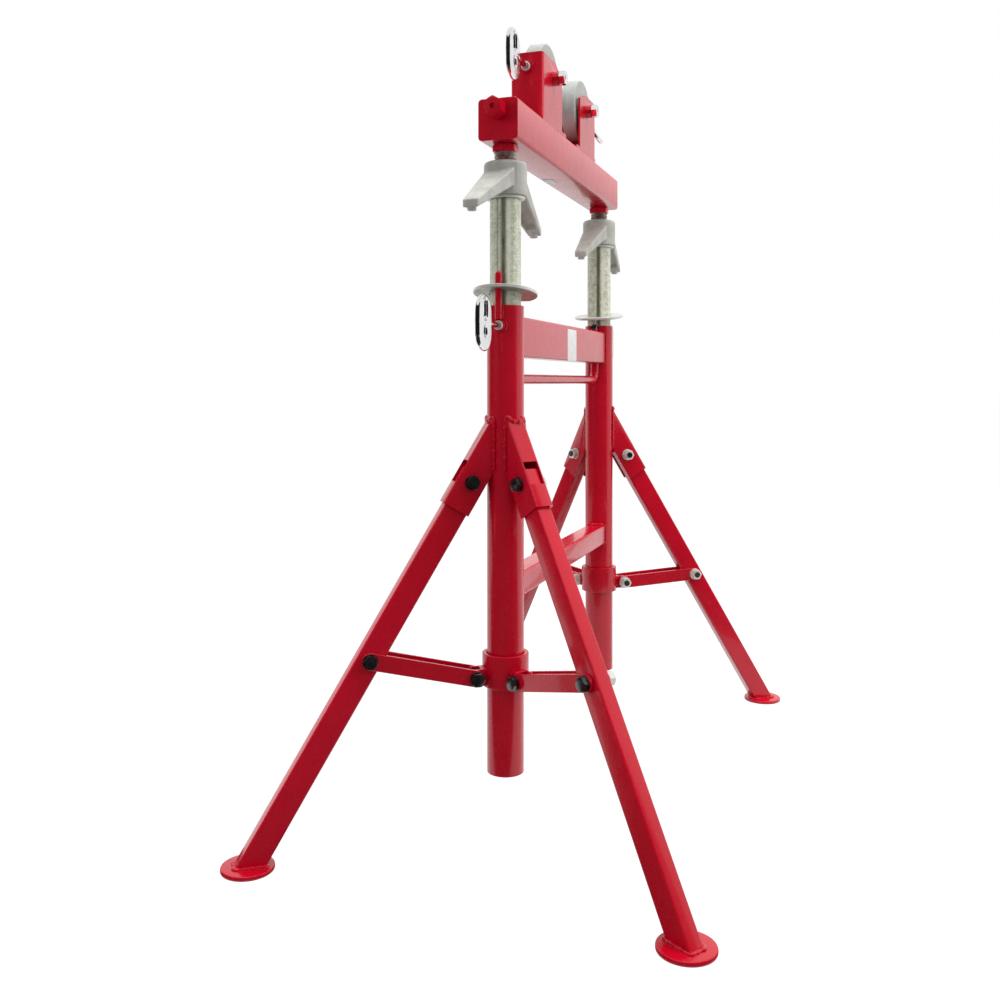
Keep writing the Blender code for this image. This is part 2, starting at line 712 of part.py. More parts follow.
def build_inner_tubes():
    """Inner tubes with a groove down each side, and the guide bolts in the inner grooves."""
    tube = pipe(TUBE_RADIUS - TUBE_WALL, TUBE_RADIUS, TUBE_TOP - TUBE_LENGTH, TUBE_TOP)
    half = GROOVE_WIDTH / 2
    grooves = []
    for sign in (-1, 1):
        ends = sorted((sign * GROOVE_FLOOR, sign * (TUBE_RADIUS + OVERRUN)))
        grooves.append(block((ends[0], -half, TUBE_TOP - TUBE_LENGTH - OVERRUN),
                             (ends[1], half, TUBE_TOP + OVERRUN)))
    cut(tube, *grooves)
    inward = shift(0, 0, GUIDE_HEIGHT) @ Matrix.Rotation(pi, 4, "Z") @ ALONG_X
    seat = POST_RADIUS + FIT_GAP
    shank = rod(GUIDE_DIAMETER / 2, GROOVE_FLOOR + TUBE_GAP, seat + SEAT_SINK, inward)
    flats_level = inward @ Matrix.Rotation(pi / 2, 4, "Z")
    guide = join(shank, hex_along(GUIDE_FLATS, seat, seat + GUIDE_HEAD, flats_level))
    finish(tube, "near_inner_tube", "zinc", post_frame("near"))
    copy_of(tube, "far_inner_tube", post_frame("far"))
    finish(guide, "near_guide_bolt", "zinc", post_frame("near"))
    copy_of(guide, "far_guide_bolt", post_frame("far"))


def build_clutch_discs():
    """Tilted discs that grip the inner tubes; each has a notch round its stop rod."""
    bore = (TUBE_RADIUS + FIT_GAP) / cos(DISC_TILT) + DISC_THICKNESS * tan(DISC_TILT) / 2
    half = DISC_THICKNESS / 2
    disc = pipe(bore, DISC_DIAMETER / 2, -half, half)
    notch_half = ROD_DIAMETER / 2 + ROD_SLOT_GAP
    notch_end = ROD_RADIUS_OUT / cos(DISC_TILT) + notch_half
    notch = block((0, -notch_half, -DISC_THICKNESS), (notch_end, notch_half, DISC_THICKNESS))
    chord = block((-DISC_DIAMETER, -DISC_DIAMETER, -DISC_THICKNESS),
                  (-DISC_CHORD, DISC_DIAMETER, DISC_THICKNESS))
    cut(disc, notch, chord)
    place = shift(0, 0, DISC_HEIGHT) @ Matrix.Rotation(-DISC_TILT, 4, "Y")
    fulcrum = (ROD_RADIUS_OUT / cos(DISC_TILT), 0, 0)
    finish(disc, "near_clutch_disc", "zinc", post_frame("near") @ place, fulcrum)
    copy_of(disc, "far_clutch_disc", post_frame("far") @ place, fulcrum)


def pull_pin(seat, nose):
    """Plunger along +X with its oval ring, for a surface at x=seat; the nose ends at x=nose."""
    centre = shift(seat + RING_STANDOFF + RING_WIDTH / 2, 0, 0)
    half = RING_THICKNESS / 2
    oval = rounded_rectangle(RING_WIDTH, RING_HEIGHT, RING_WIDTH / 2 - END_CHAMFER)
    ring = prism(oval, -half, half, centre @ UPRIGHT)
    sizes = ((1, UPPER_HOLE_WIDTH, UPPER_HOLE_HEIGHT), (-1, LOWER_HOLE_WIDTH, LOWER_HOLE_HEIGHT))
    holes = []
    for sign, width, tall in sizes:
        rise = sign * (RING_BRIDGE / 2 + tall / 2)
        outline = rounded_rectangle(width, tall, width * HOLE_CORNER_SHARE)
        holes.append(prism(outline, -RING_THICKNESS, RING_THICKNESS,
                           centre @ shift(0, 0, rise) @ UPRIGHT))
    cut(ring, *holes)
    soften(ring, RING_EDGE)
    plunger = rod(PLUNGER_DIAMETER / 2, nose, seat + RING_STANDOFF + RING_BRIDGE, ALONG_X)
    return join(ring, plunger)


def build_pull_pins():
    """Sprung pins on the outer side of the posts and of the carriages."""
    nose = GROOVE_FLOOR + TUBE_GAP
    post_pin = pull_pin(POST_RADIUS, nose)
    lift = shift(0, 0, PIN_HEIGHT)
    finish(post_pin, "near_post_pull_pin", "chrome", post_frame("near") @ lift)
    copy_of(post_pin, "far_post_pull_pin", post_frame("far") @ lift)
    carriage_pin = pull_pin(CARRIAGE_OUTER, CARRIAGE_OUTER - CARRIAGE_PLATE)
    rise = CARRIAGE_SEAT + CARRIAGE_PIN_RISE
    near = shift(AXLE_X["near"], 0, rise) @ Matrix.Rotation(pi, 4, "Z")
    finish(carriage_pin, "near_carriage_pull_pin", "chrome", near)
    lean = Matrix.Rotation(RING_LEAN, 4, "X")
    copy_of(carriage_pin, "far_carriage_pull_pin", shift(AXLE_X["far"], 0, rise) @ lean)


def build_thrust_rings():
    """Flanges on the tops of the inner tubes, which carry the wing nuts."""
    bore = LIFT_SCREW_DIAMETER / 2 + TUBE_GAP
    ring = pipe(bore, THRUST_DIAMETER / 2, THRUST_BASE, THRUST_BASE + THRUST_THICKNESS)
    finish(ring, "near_thrust_ring", "zinc", post_frame("near"))
    copy_of(ring, "far_thrust_ring", post_frame("far"))


def wing_section(reach, inset, lid, skirt):
    """Four corners of a wing's cross-section at a distance from the axis."""
    root = WING_HUB_DIAMETER / 2
    share = (reach - root) / (WING_REACH - root)
    half = (WING_ROOT_WIDTH + (WING_TIP_WIDTH - WING_ROOT_WIDTH) * share) / 2 - inset
    top = WING_ROOT_TOP - (reach - root) * tan(WING_SLOPE)
    bottom = top - (WING_ROOT_DEPTH + (WING_TIP_DEPTH - WING_ROOT_DEPTH) * share)
    high, low = top - lid, bottom - skirt
    return [(reach, half, high), (reach, -half, high), (reach, -half, low), (reach, half, low)]


def build_wing_nuts():
    """Cast wing nuts: a hub, two sloping wings hollow below, and a lug under each tip."""
    radius = WING_HUB_DIAMETER / 2
    bore = LIFT_SCREW_DIAMETER / 2 + THREAD_GAP
    crown = arc((radius - WING_HUB_ROUND, WING_HUB_HEIGHT - WING_HUB_ROUND), WING_HUB_ROUND,
                0, pi / 2, CORNER_STEPS)
    hub = turned([(bore, 0), (radius, 0)] + crown + [(bore, WING_HUB_HEIGHT)],
                 steps=ROUND_STEPS, ring=True)
    root = WING_HUB_DIAMETER / 4 + bore / 2
    lug_top = wing_section(WING_REACH - LUG_INSET, 0, WING_SHELL, 0)[0][2]
    lug_low = wing_section(WING_REACH - LUG_INSET, 0, 0, LUG_DROP)[2][2]
    for sign in (0, 1):
        turn = Matrix.Rotation(sign * pi, 4, "Z")
        wing = loft([wing_section(root, 0, 0, 0), wing_section(WING_REACH, 0, 0, 0)], turn)
        soften(wing, END_CHAMFER)
        pocket = loft([wing_section(reach, WING_SHELL, WING_SHELL, WING_ROOT_DEPTH)
                       for reach in (WING_POCKET_START, WING_POCKET_END)], turn)
        lug = rod(LUG_DIAMETER / 2, lug_low, lug_top,
                  turn @ shift(WING_REACH - LUG_INSET, 0, 0))
        cut(wing, pocket)
        join(hub, wing)
        join(hub, lug)
    clear = rod(THRUST_DIAMETER / 2 + OVERRUN, -WING_ROOT_DEPTH, -FIT_GAP, steps=ROUND_STEPS)
    cut(hub, clear)
    base = shift(0, 0, WING_BASE)
    finish(hub, "near_wing_nut", "cast_grey", post_frame("near") @ base)
    copy_of(hub, "far_wing_nut", post_frame("far") @ base)


def build_lift_screws():
    """Screws that the wing nuts raise, each with a hexagon under the beam."""
    low = WING_BASE - LIFT_SCREW_BELOW
    screw = rod(LIFT_SCREW_DIAMETER / 2, low, COUPLING_BASE + SEAT_SINK, steps=ROUND_STEPS)
    top = COUPLING_BASE + COUPLING_HEIGHT
    join(screw, prism(hexagon(COUPLING_FLATS), COUPLING_BASE, top))
    finish(screw, "near_lift_screw", "red_paint", post_frame("near"))
    copy_of(screw, "far_lift_screw", post_frame("far"))


def build_beam():
    """Square beam with closed ends, bored for the adjusting screw and slotted on top."""
    half = BEAM_LENGTH / 2
    frame = shift(0, 0, BEAM_BASE + BEAM_SIZE / 2) @ ALONG_X
    beam = prism(rounded_rectangle(BEAM_SIZE, BEAM_SIZE, BEAM_CORNER), -half, half, frame)
    space = BEAM_SIZE - 2 * BEAM_WALL
    hollow = prism(rectangle(space, space), BEAM_WALL - half, half - BEAM_WALL, frame)
    screw_hole = rod(SCREW_DIAMETER / 2 + BOLT_GAP, -half - OVERRUN, half + OVERRUN,
                     shift(0, 0, SCREW_HEIGHT) @ ALONG_X)
    slots = []
    for side, sign in SIDES.items():
        reach = TONGUE_LENGTH / 2 + TONGUE_END_GAP
        ends = sorted((AXLE_X[side] + sign * (CARRIAGE_OUTWARD + reach),
                       AXLE_X[side] - sign * (CARRIAGE_INWARD + reach)))
        slots.append(block((ends[0], -SLOT_WIDTH / 2, SCREW_HEIGHT + SCREW_DIAMETER / 2),
                           (ends[1], SLOT_WIDTH / 2, CARRIAGE_SEAT + OVERRUN)))
    cut(beam, hollow, screw_hole, *slots)
    finish(beam, "beam", "red_paint")


def build_adjusting_screw():
    """Screw along the beam that draws the carriages together, with a hexagon to turn it."""
    half = BEAM_LENGTH / 2
    head = -half - FIT_GAP
    screw = rod(SCREW_DIAMETER / 2, head - SEAT_SINK, half, ALONG_X, ROUND_STEPS)
    drive = hex_along(DRIVE_FLATS, head - DRIVE_LENGTH, head, ALONG_X)
    face = head - DRIVE_LENGTH
    dimple = turned([(0, face - OVERRUN), (DRIVE_DIMPLE / 2, face - OVERRUN),
                     (DRIVE_DIMPLE / 2, face), (0, face + DRIVE_DIMPLE_DEPTH)], ALONG_X)
    join(screw, drive)
    cut(screw, dimple)
    finish(screw, "adjusting_screw", "red_paint", shift(0, 0, SCREW_HEIGHT))


def carriage_walls():
    """Side plates and outer plate of a carriage, bent from one sheet."""
    length = CARRIAGE_OUTER + CARRIAGE_INNER
    full = length + CARRIAGE_CORNER
    middle = shift(full / 2 - CARRIAGE_OUTER, 0, 0)
    walls = prism(rounded_rectangle(full, CARRIAGE_WIDTH, CARRIAGE_CORNER),
                  CARRIAGE_BASE - SEAT_SINK, CARRIAGE_HEIGHT, middle)
    inner_width = CARRIAGE_WIDTH - 2 * CARRIAGE_PLATE
    space = prism(rectangle(full, inner_width), 0, CARRIAGE_HEIGHT + OVERRUN,
                  middle @ shift(CARRIAGE_PLATE, 0, 0))
    tip = CARRIAGE_INNER + OVERRUN
    wheel_side = block((CARRIAGE_INNER, -CARRIAGE_WIDTH, 0),
                       (full, CARRIAGE_WIDTH, CARRIAGE_HEIGHT + OVERRUN))
    sloped = [(length * along - CARRIAGE_OUTER, CARRIAGE_HEIGHT * (1 - drop))
              for along, drop in TOP_CUT_SHARES]
    edge = sloped[:-1] + [(tip, sloped[-1][1])]
    edge += [(tip, CARRIAGE_HEIGHT + OVERRUN), (sloped[0][0], CARRIAGE_HEIGHT + OVERRUN)]
    corner = prism(edge, -CARRIAGE_WIDTH, CARRIAGE_WIDTH, UPRIGHT)
    return cut(walls, space, wheel_side, corner)


def carriage_mesh():
    """A whole carriage about its axle, with its nut block below, drawn for the near side."""
    body = carriage_walls()
    half = CARRIAGE_WIDTH / 2
    base = block((-CARRIAGE_OUTER, -half, 0), (CARRIAGE_BASE_INNER, half, CARRIAGE_BASE))
    boss = rod(AXLE_BOSS_DIAMETER / 2, -half - AXLE_BOSS_LENGTH, SEAT_SINK - half,
               shift(0, 0, AXLE_RISE) @ ALONG_Y)
    pin_place = shift(0, 0, CARRIAGE_PIN_RISE) @ Matrix.Rotation(pi, 4, "Z")
    pin_base = pull_pin_base(CARRIAGE_OUTER)
    pin_base.data.transform(pin_place)
    screw_drop = SCREW_HEIGHT - CARRIAGE_SEAT
    reach = TONGUE_LENGTH / 2
    tongue = block((-reach, -TONGUE_WIDTH / 2, screw_drop), (reach, TONGUE_WIDTH / 2, SEAT_SINK))
    nut = block((-reach + END_CHAMFER, -NUT_BLOCK / 2, screw_drop - NUT_BLOCK / 2),
                (reach - END_CHAMFER, NUT_BLOCK / 2, screw_drop + NUT_BLOCK / 2))
    join(body, base, boss, pin_base, tongue, nut)
    pin_bore = pull_pin_bore(CARRIAGE_OUTER, CARRIAGE_OUTER - CARRIAGE_PLATE - OVERRUN)
    pin_bore.data.transform(pin_place)
    axle_hole = rod(AXLE_DIAMETER / 2 + BOLT_GAP, -half - AXLE_BOSS_LENGTH - OVERRUN,
                    half + OVERRUN, shift(0, 0, AXLE_RISE) @ ALONG_Y)
    screw_hole = rod(SCREW_DIAMETER / 2 + THREAD_GAP, -reach - OVERRUN, reach + OVERRUN,
                     shift(0, 0, screw_drop) @ ALONG_X, ROUND_STEPS)
    return cut(body, pin_bore, axle_hole, screw_hole)


def wheel_mesh():
    """A plain roller with its hub reaching both side plates, about the carriage's middle."""
    middle = WHEEL_OFFSET
    hub = CARRIAGE_WIDTH / 2 - CARRIAGE_PLATE - FIT_GAP
    low, high = middle - WHEEL_WIDTH / 2, middle + WHEEL_WIDTH / 2
    bore, boss = AXLE_DIAMETER / 2 + BOLT_GAP, WHEEL_HUB_DIAMETER / 2
    profile = [(bore, -hub), (boss, -hub), (boss, low), (WHEEL_RADIUS - WHEEL_EDGE, low),
               (WHEEL_RADIUS, low + WHEEL_EDGE), (WHEEL_RADIUS, high - WHEEL_EDGE),
               (WHEEL_RADIUS - WHEEL_EDGE, high), (boss, high), (boss, hub), (bore, hub)]
    return turned(profile, ALONG_Y, ROUND_STEPS, ring=True)


def axle_mesh():
    """The roller's axle bolt, with its nut at the boss on -Y and its head on +Y."""
    half = CARRIAGE_WIDTH / 2 + FIT_GAP
    nut_seat = half + AXLE_BOSS_LENGTH
    end = nut_seat + AXLE_NUT + BOLT_END
    radius = AXLE_DIAMETER / 2
    shaft = turned([(0, -end), (radius - END_CHAMFER, -end), (radius, END_CHAMFER - end),
                    (radius, half + SEAT_SINK), (0, half + SEAT_SINK)], ALONG_Y)
    nut = hex_along(AXLE_FLATS, -nut_seat - AXLE_NUT, -nut_seat, ALONG_Y)
    head = hex_along(AXLE_FLATS, half, half + AXLE_HEAD, ALONG_Y)
    return join(shaft, nut, head)


def build_carriages():
    """Both carriages with rollers and axles; the far carriage mirrors the near one."""
    for side, sign in SIDES.items():
        seat = shift(AXLE_X[side], 0, CARRIAGE_SEAT)
        axle = seat @ shift(0, 0, AXLE_RISE)
        carriage = carriage_mesh()
        if sign > 0:
            bm = bmesh.new()
            bm.from_mesh(carriage.data)
            bpy.data.objects.remove(carriage, do_unlink=True)
            carriage = solid(bm, Matrix.Scale(-1, 4, Vector((1, 0, 0))))
        finish(carriage, side + "_carriage", "red_paint", seat)
        finish(wheel_mesh(), side + "_wheel", "grey_wheel", axle)
        finish(axle_mesh(), side + "_axle", "zinc", axle)


def main():
    clear_scene()
    build_posts()
    crossbar(UPPER_BAR_WIDTH, UPPER_BAR_HEIGHT, UPPER_BAR_TOP, "upper_crossbar")
    crossbar(LOWER_BAR_SIZE, LOWER_BAR_SIZE, LOWER_BAR_TOP, "lower_crossbar")
    build_carry_handle()
    build_legs()
    build_brackets()
    build_leg_bolts()
    build_collars()
    build_links()
    build_inner_tubes()
    build_clutch_discs()
    build_pull_pins()
    build_thrust_rings()
    build_wing_nuts()
    build_lift_screws()
    build_beam()
    build_adjusting_screw()
    build_carriages()


main()
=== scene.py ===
# %% [markdown]
# # A pipe jack stand, dressed for its photograph
# The stand is a welded steel frame: two posts on folding legs, two sliding tubes, and a beam
# with two rollers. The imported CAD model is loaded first, because it fixes every size, every
# place and every moving body. What follows only builds finer surfaces over it.

# %% Load the frame
from math import atan2, cos, hypot, pi, radians, sin, sqrt, tan

import bmesh
import bpy
import numpy as np
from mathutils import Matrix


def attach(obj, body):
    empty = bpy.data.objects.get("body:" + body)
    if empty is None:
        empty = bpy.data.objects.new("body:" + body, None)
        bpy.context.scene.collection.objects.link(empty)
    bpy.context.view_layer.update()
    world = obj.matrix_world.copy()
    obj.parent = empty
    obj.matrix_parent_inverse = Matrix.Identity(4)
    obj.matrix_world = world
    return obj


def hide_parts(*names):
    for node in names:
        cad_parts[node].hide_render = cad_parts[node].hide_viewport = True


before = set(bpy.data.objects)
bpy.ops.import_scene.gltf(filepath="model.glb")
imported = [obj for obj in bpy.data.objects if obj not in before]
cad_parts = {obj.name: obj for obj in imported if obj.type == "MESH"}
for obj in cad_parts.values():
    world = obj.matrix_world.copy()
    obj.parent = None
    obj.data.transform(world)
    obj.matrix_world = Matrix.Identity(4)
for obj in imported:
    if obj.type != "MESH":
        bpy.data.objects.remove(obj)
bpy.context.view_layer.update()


def shown(name, data):
    """A new object of the scene, made from its data."""
    made = bpy.data.objects.new(name, data)
    bpy.context.scene.collection.objects.link(made)
    return made


# %% [markdown]
# ## The camera
# The photograph looks level along the stand from beyond the near post, a little to the right.
# A level camera keeps the posts upright, so the frame is moved up by the camera's shift and
# not by tilting it.

# %% Camera
camera_data = bpy.data.cameras.new("camera")
camera_data.sensor_width = 36
camera_data.lens = 36.627
camera_data.shift_y = -0.11798
camera = shown("camera", camera_data)
camera.location = (-1.78574, -0.51304, 0.70)
camera.rotation_euler = (radians(90), 0, radians(-70.63))
bpy.context.scene.camera = camera
bpy.context.scene.view_settings.view_transform = "Standard"
print("camera lens", camera_data.lens, "mm")

# %% [markdown]
# ## Whole arrays in place of single points
# Every surface below is a grid of points worked out at once. A frame of four rows says where a
# piece stands: three columns for its own directions and one for its place.

# %% Frames
def about(axis, angle):
    """A turn by an angle about X, Y or Z: cosine and sine in the plane of the other two."""
    made = np.eye(4)
    first, second = {"X": (1, 2), "Y": (2, 0), "Z": (0, 1)}[axis]
    made[first, first] = made[second, second] = cos(angle)
    made[first, second], made[second, first] = -sin(angle), sin(angle)
    return made


def moved(x, y, z):
    """A frame that is moved and not turned."""
    made = np.eye(4)
    made[:3, 3] = x, y, z
    return made


def placed(points, place):
    """Points of a frame in world metres: turn times point, plus place."""
    return np.asarray(points) @ place[:3, :3].T + place[:3, 3]


HERE, FLIPPED = np.eye(4), about("X", pi)
ALONG_X, ALONG_Y, UPRIGHT = about("Y", pi / 2), about("X", -pi / 2), about("X", pi / 2)

# %% [markdown]
# ## Profiles
# A turned or bent piece starts as a profile. Real edges are never perfectly sharp, so each
# corner of a profile is eased with a small curve, which is what catches the light.

# %% Profiles
def once_round(steps):
    """Even angles, once round."""
    return np.linspace(0, 2 * pi, steps, endpoint=False)


def bow(centre, radius, start, end, steps):
    """Points of an arc: centre plus radius times cosine and sine."""
    angle = np.linspace(start, end, steps + 1)
    return np.stack([centre[0] + radius * np.cos(angle), centre[1] + radius * np.sin(angle)], 1)


def circle(radius, steps=24):
    """Radius times cosine and sine, once round."""
    angle = once_round(steps)
    return radius * np.stack([np.cos(angle), np.sin(angle)], 1)


def rounded(width, height, radius, steps=6):
    """A rectangle whose corners are quarter circles, all round once."""
    x, y = width / 2 - radius, height / 2 - radius
    corners = [(x, y), (-x, y), (-x, -y), (x, -y)]
    return np.vstack([bow(corner, radius, quarter * pi / 2, (quarter + 1) * pi / 2, steps)
                      for quarter, corner in enumerate(corners)])


def eased(points, radius, closed=False, steps=4):
    """Rounded corners: (1-t)^2 of a point before, 2t(1-t) of the corner, t^2 of one after."""
    corner = np.asarray(points, float)
    before, after = np.roll(corner, 1, 0), np.roll(corner, -1, 0)
    if not closed:
        before[0], after[-1] = corner[0], corner[-1]
    radius = np.asarray(radius, float).reshape(-1, 1)
    ends = []
    for side in (before - corner, after - corner):
        far = np.linalg.norm(side, axis=1, keepdims=True)
        ends.append(corner + side / np.maximum(far, 1e-9) * np.minimum(radius, far / 2))
    start, middle, end = ends[0][:, None], corner[:, None], ends[1][:, None]
    t = np.linspace(0, 1, steps + 1).reshape(1, -1, 1)
    curve = (1 - t) ** 2 * start + 2 * t * (1 - t) * middle + t ** 2 * end
    return curve.reshape(-1, corner.shape[1])


def evenly(path, step=0.0008, closed=False, count=0):
    """The same path with points a step apart by its length so far, or a number of points."""
    path = np.asarray(path, float)
    if closed:
        path = np.vstack([path, path[:1]])
    so_far = np.concatenate([[0], np.cumsum(np.linalg.norm(np.diff(path, axis=0), axis=1))])
    where = np.linspace(0, so_far[-1], count or max(int(so_far[-1] / step), 4) + 1)
    if closed:
        where = where[:-1]
    return np.stack([np.interp(where, so_far, column) for column in path.T], 1)


# %% [markdown]
# ## Grids
# A grid closes round on itself: rows run along the piece and columns run round it. The
# alternative is to push and merge ready-made solids, but a grid keeps even faces, and so clean
# highlights, wherever the piece bends or swells.

# %% Grids
def rings(rows, angles, place):
    """Rows of reach and height, each once round: reach times cosine and sine of the angle."""
    cosine, sine = np.cos(angles), np.sin(angles)
    grid = [np.broadcast_arrays(reach * cosine, reach * sine, height) for reach, height in rows]
    return placed(np.stack(grid).transpose(0, 2, 1), place)


def turned(profile, place, steps):
    """A lathe: each point of the profile goes once round at its own reach and height."""
    return rings(profile, once_round(steps), place)


def stacked(rows, place):
    """Outlines one above the other, each at its own height or heights."""
    grid = [np.column_stack([outline, height + 0 * outline[:, 0]]) for outline, height in rows]
    return placed(np.stack(grid), place)


def carried(outline, path, up, closed=False, swell=1.0):
    """An outline carried along a path: point plus outline times the side and top directions."""
    path = np.asarray(path, float)
    ahead = np.roll(path, -1, 0) - np.roll(path, 1, 0) if closed else np.gradient(path, axis=0)
    ahead /= np.linalg.norm(ahead, axis=1, keepdims=True)
    side = np.cross(np.broadcast_to(up, path.shape), ahead)
    side /= np.linalg.norm(side, axis=1, keepdims=True)
    top = np.cross(ahead, side)
    swell = np.broadcast_to(swell, len(path)).reshape(-1, 1, 1)
    across = outline[None, :, :1] * side[:, None] + outline[None, :, 1:] * top[:, None]
    grid = path[:, None] + swell * across
    if closed:
        return grid
    first, last = (np.repeat(grid[row].mean(0)[None], len(outline), 0)[None] for row in (0, -1))
    return np.concatenate([first, grid, last])


# %% [markdown]
# ## One object out of several skins
# A skin is a grid, whether its last row joins its first, and its finish. A piece joins its
# skins into one mesh, closes the seams and poles by merging doubles, and rides on its body.
# Its place stays in its points.

# %% Pieces
DOUBLE = 0.000002


def joined(name, skins):
    """One mesh: quads of each grid are its point numbers, shifted by one row and one column."""
    points, quads, marks, paints, start = [], [], [], [], 0
    for grid, closed, paint in skins:
        rows, columns = grid.shape[:2]
        number = start + np.arange(rows * columns).reshape(rows, columns)
        number = np.hstack([number, number[:, :1]])
        if closed:
            number = np.vstack([number, number[:1]])
        here = np.stack([number[:-1, :-1], number[:-1, 1:], number[1:, 1:], number[1:, :-1]], -1)
        if paint not in paints:
            paints.append(paint)
        points.append(grid.reshape(-1, 3))
        quads.append(here.reshape(-1, 4))
        marks.append(np.full(len(quads[-1]), paints.index(paint)))
        start += rows * columns
    mesh = bpy.data.meshes.new(name)
    mesh.from_pydata(np.vstack(points).tolist(), [], np.vstack(quads).tolist())
    for paint in paints:
        mesh.materials.append(paint)
    mesh.polygons.foreach_set("material_index", np.concatenate(marks).astype(np.int32))
    return mesh


def merged(mesh, then=None):
    """The mesh with its doubles merged, and one more step made on it if that is given."""
    bm = bmesh.new()
    bm.from_mesh(mesh)
    bmesh.ops.remove_doubles(bm, verts=bm.verts, dist=DOUBLE)
    if then:
        then(bm)
    bm.to_mesh(mesh)
    bm.free()


def settled(mesh, name, body, node, sharp):
    """Merge the doubles, turn the faces out, shade smooth and ride on the body."""
    merged(mesh, lambda bm: bmesh.ops.recalc_face_normals(bm, faces=bm.faces))
    mesh.shade_smooth()
    mesh.set_sharp_from_angle(angle=radians(sharp))
    made = shown(name, mesh)
    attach(made, body)
    if node:
        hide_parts(node)
    return made


def piece(name, body, skins, node=None, sharp=35):
    """Skins joined into one object."""
    return settled(joined(name, skins), name, body, node, sharp)


# %% [markdown]
# ## Copies of CAD pieces
# A bracket or carriage already has the right shape in CAD, with hard edges. It could be built
# again, but a merged copy with flat faces joined and a live Bevel gives the same sheet metal
# with rounded edges. A casting also has a fillet in every inside corner, which a bevel can't
# give, so it is remeshed on a fine even grid and smoothed until all its edges are soft.

# %% Softened copies and castings
def repainted(mesh, name, paint):
    """The mesh under a new name with one finish."""
    mesh.name = name
    mesh.materials.clear()
    mesh.materials.append(paint)
    return mesh


def softened(node, name, body, paint, width=0.0008):
    """The CAD node's mesh, merged, its flat parts joined, and its edges bevelled by a width."""
    mesh = repainted(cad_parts[node].data.copy(), name, paint)
    merged(mesh, lambda bm: bmesh.ops.dissolve_limit(bm, angle_limit=radians(1), verts=bm.verts,
                                                     edges=bm.edges))
    made = settled(mesh, name, body, node, 35)
    edge = made.modifiers.new("edge", "BEVEL")
    edge.width, edge.segments = width, 3
    edge.limit_method, edge.angle_limit = "ANGLE", radians(25)
    edge.harden_normals = False


def cast(mesh, name, body, paint, cell=0.0012, rounds=4):
    """A mesh rebuilt in even cells, then each point drawn to its neighbours' mean."""
    merged(mesh)
    rough = shown("rough", mesh)
    even = rough.modifiers.new("even", "REMESH")
    even.mode, even.voxel_size = "VOXEL", cell
    calm = rough.modifiers.new("calm", "SMOOTH")
    calm.factor, calm.iterations = 0.5, rounds
    graph = bpy.context.evaluated_depsgraph_get()
    shape = bpy.data.meshes.new_from_object(rough.evaluated_get(graph))
    bpy.data.objects.remove(rough, do_unlink=True)
    settled(repainted(shape, name, paint), name, body, body, 60)
    print(name, "faces:", len(shape.polygons))


# %% [markdown]
# ## Finishes
# Each finish starts from the shader's plain numbers and adds what the real one shows at its
# own scale: drifts of tone, a fine grain, and marks of use. The patterns are noise in Object
# coordinates, in metres, so they stay fixed to the steel from every side.

# %% Nodes
def node(tree, kind, *feeds, **values):
    """A new node. Feeds go to its sockets in turn and values by name, as links or numbers."""
    made = tree.nodes.new("ShaderNode" + kind)
    named = [(made.inputs[name.replace("_", " ")], value) for name, value in values.items()]
    for socket, value in [*zip(made.inputs, feeds), *named]:
        if isinstance(value, bpy.types.NodeSocket):
            tree.links.new(value, socket)
        else:
            socket.default_value = value
    return made


def worked(tree, operation, *values):
    """One step of arithmetic on the values."""
    step = node(tree, "Math", *values)
    step.operation = operation
    return step.outputs[0]


def grain(tree, scale, detail=3.0, stretch=(1, 1, 1)):
    """Noise over Object coordinates, stretched by a scale for each direction."""
    where = node(tree, "TexCoord").outputs["Object"]
    where = node(tree, "Mapping", Vector=where, Scale=stretch).outputs["Vector"]
    return node(tree, "TexNoise", Vector=where, Scale=scale, Detail=detail).outputs["Fac"]


def tones(tree, noise, dark, light, start=0.3, end=0.7):
    """Noise as a colour: dark up to the start, light from the end, and mixed between."""
    ramp = node(tree, "ValToRGB", Fac=grain(tree, *noise))
    for stop, place, colour in zip(ramp.color_ramp.elements, (start, end), (dark, light)):
        stop.position, stop.color = place, (*colour, 1)
    return ramp.outputs["Color"]


def specks(tree, noise, start, end, share):
    """Noise as a share: none up to the start, and this share from the end."""
    return tones(tree, noise, (0, 0, 0), (share, share, share), start, end)


def blended(tree, share, first, second):
    """First colour where the share is 0 and second where it is 1."""
    mix = node(tree, "Mix")
    mix.data_type = "RGBA"
    for socket, value in (("Factor", share), (6, first), (7, second)):
        tree.links.new(value, mix.inputs[socket])
    return mix.outputs[2]


def ranged(tree, value, low, high, start=0.3, end=0.7):
    """The value from start to end becomes a number from low to high."""
    return node(tree, "MapRange", Value=value, From_Min=start, From_Max=end, To_Min=low,
                To_Max=high).outputs["Result"]


def new_finish(name, roughness, metallic, **more):
    """A finish and its nodes, with the plain numbers of its shader set."""
    paint = bpy.data.materials.new(name)
    paint.use_nodes = True
    shader = paint.node_tree.nodes["Principled BSDF"]
    for socket, value in dict(Roughness=roughness, Metallic=metallic, **more).items():
        shader.inputs[socket.replace("_", " ")].default_value = value
    return paint, paint.node_tree


def laid(tree, colour, bump, drift=None):
    """A colour, a bump of noise by its metres, and a drift of roughness from low to high."""
    shader = tree.nodes["Principled BSDF"]
    tree.links.new(colour, shader.inputs["Base Color"])
    if drift:
        noise, low, high = drift
        tree.links.new(ranged(tree, grain(tree, *noise), low, high), shader.inputs["Roughness"])
    noise, metres = bump
    relief = node(tree, "Bump", Height=grain(tree, *noise), Distance=metres)
    tree.links.new(relief.outputs["Normal"], shader.inputs["Normal"])


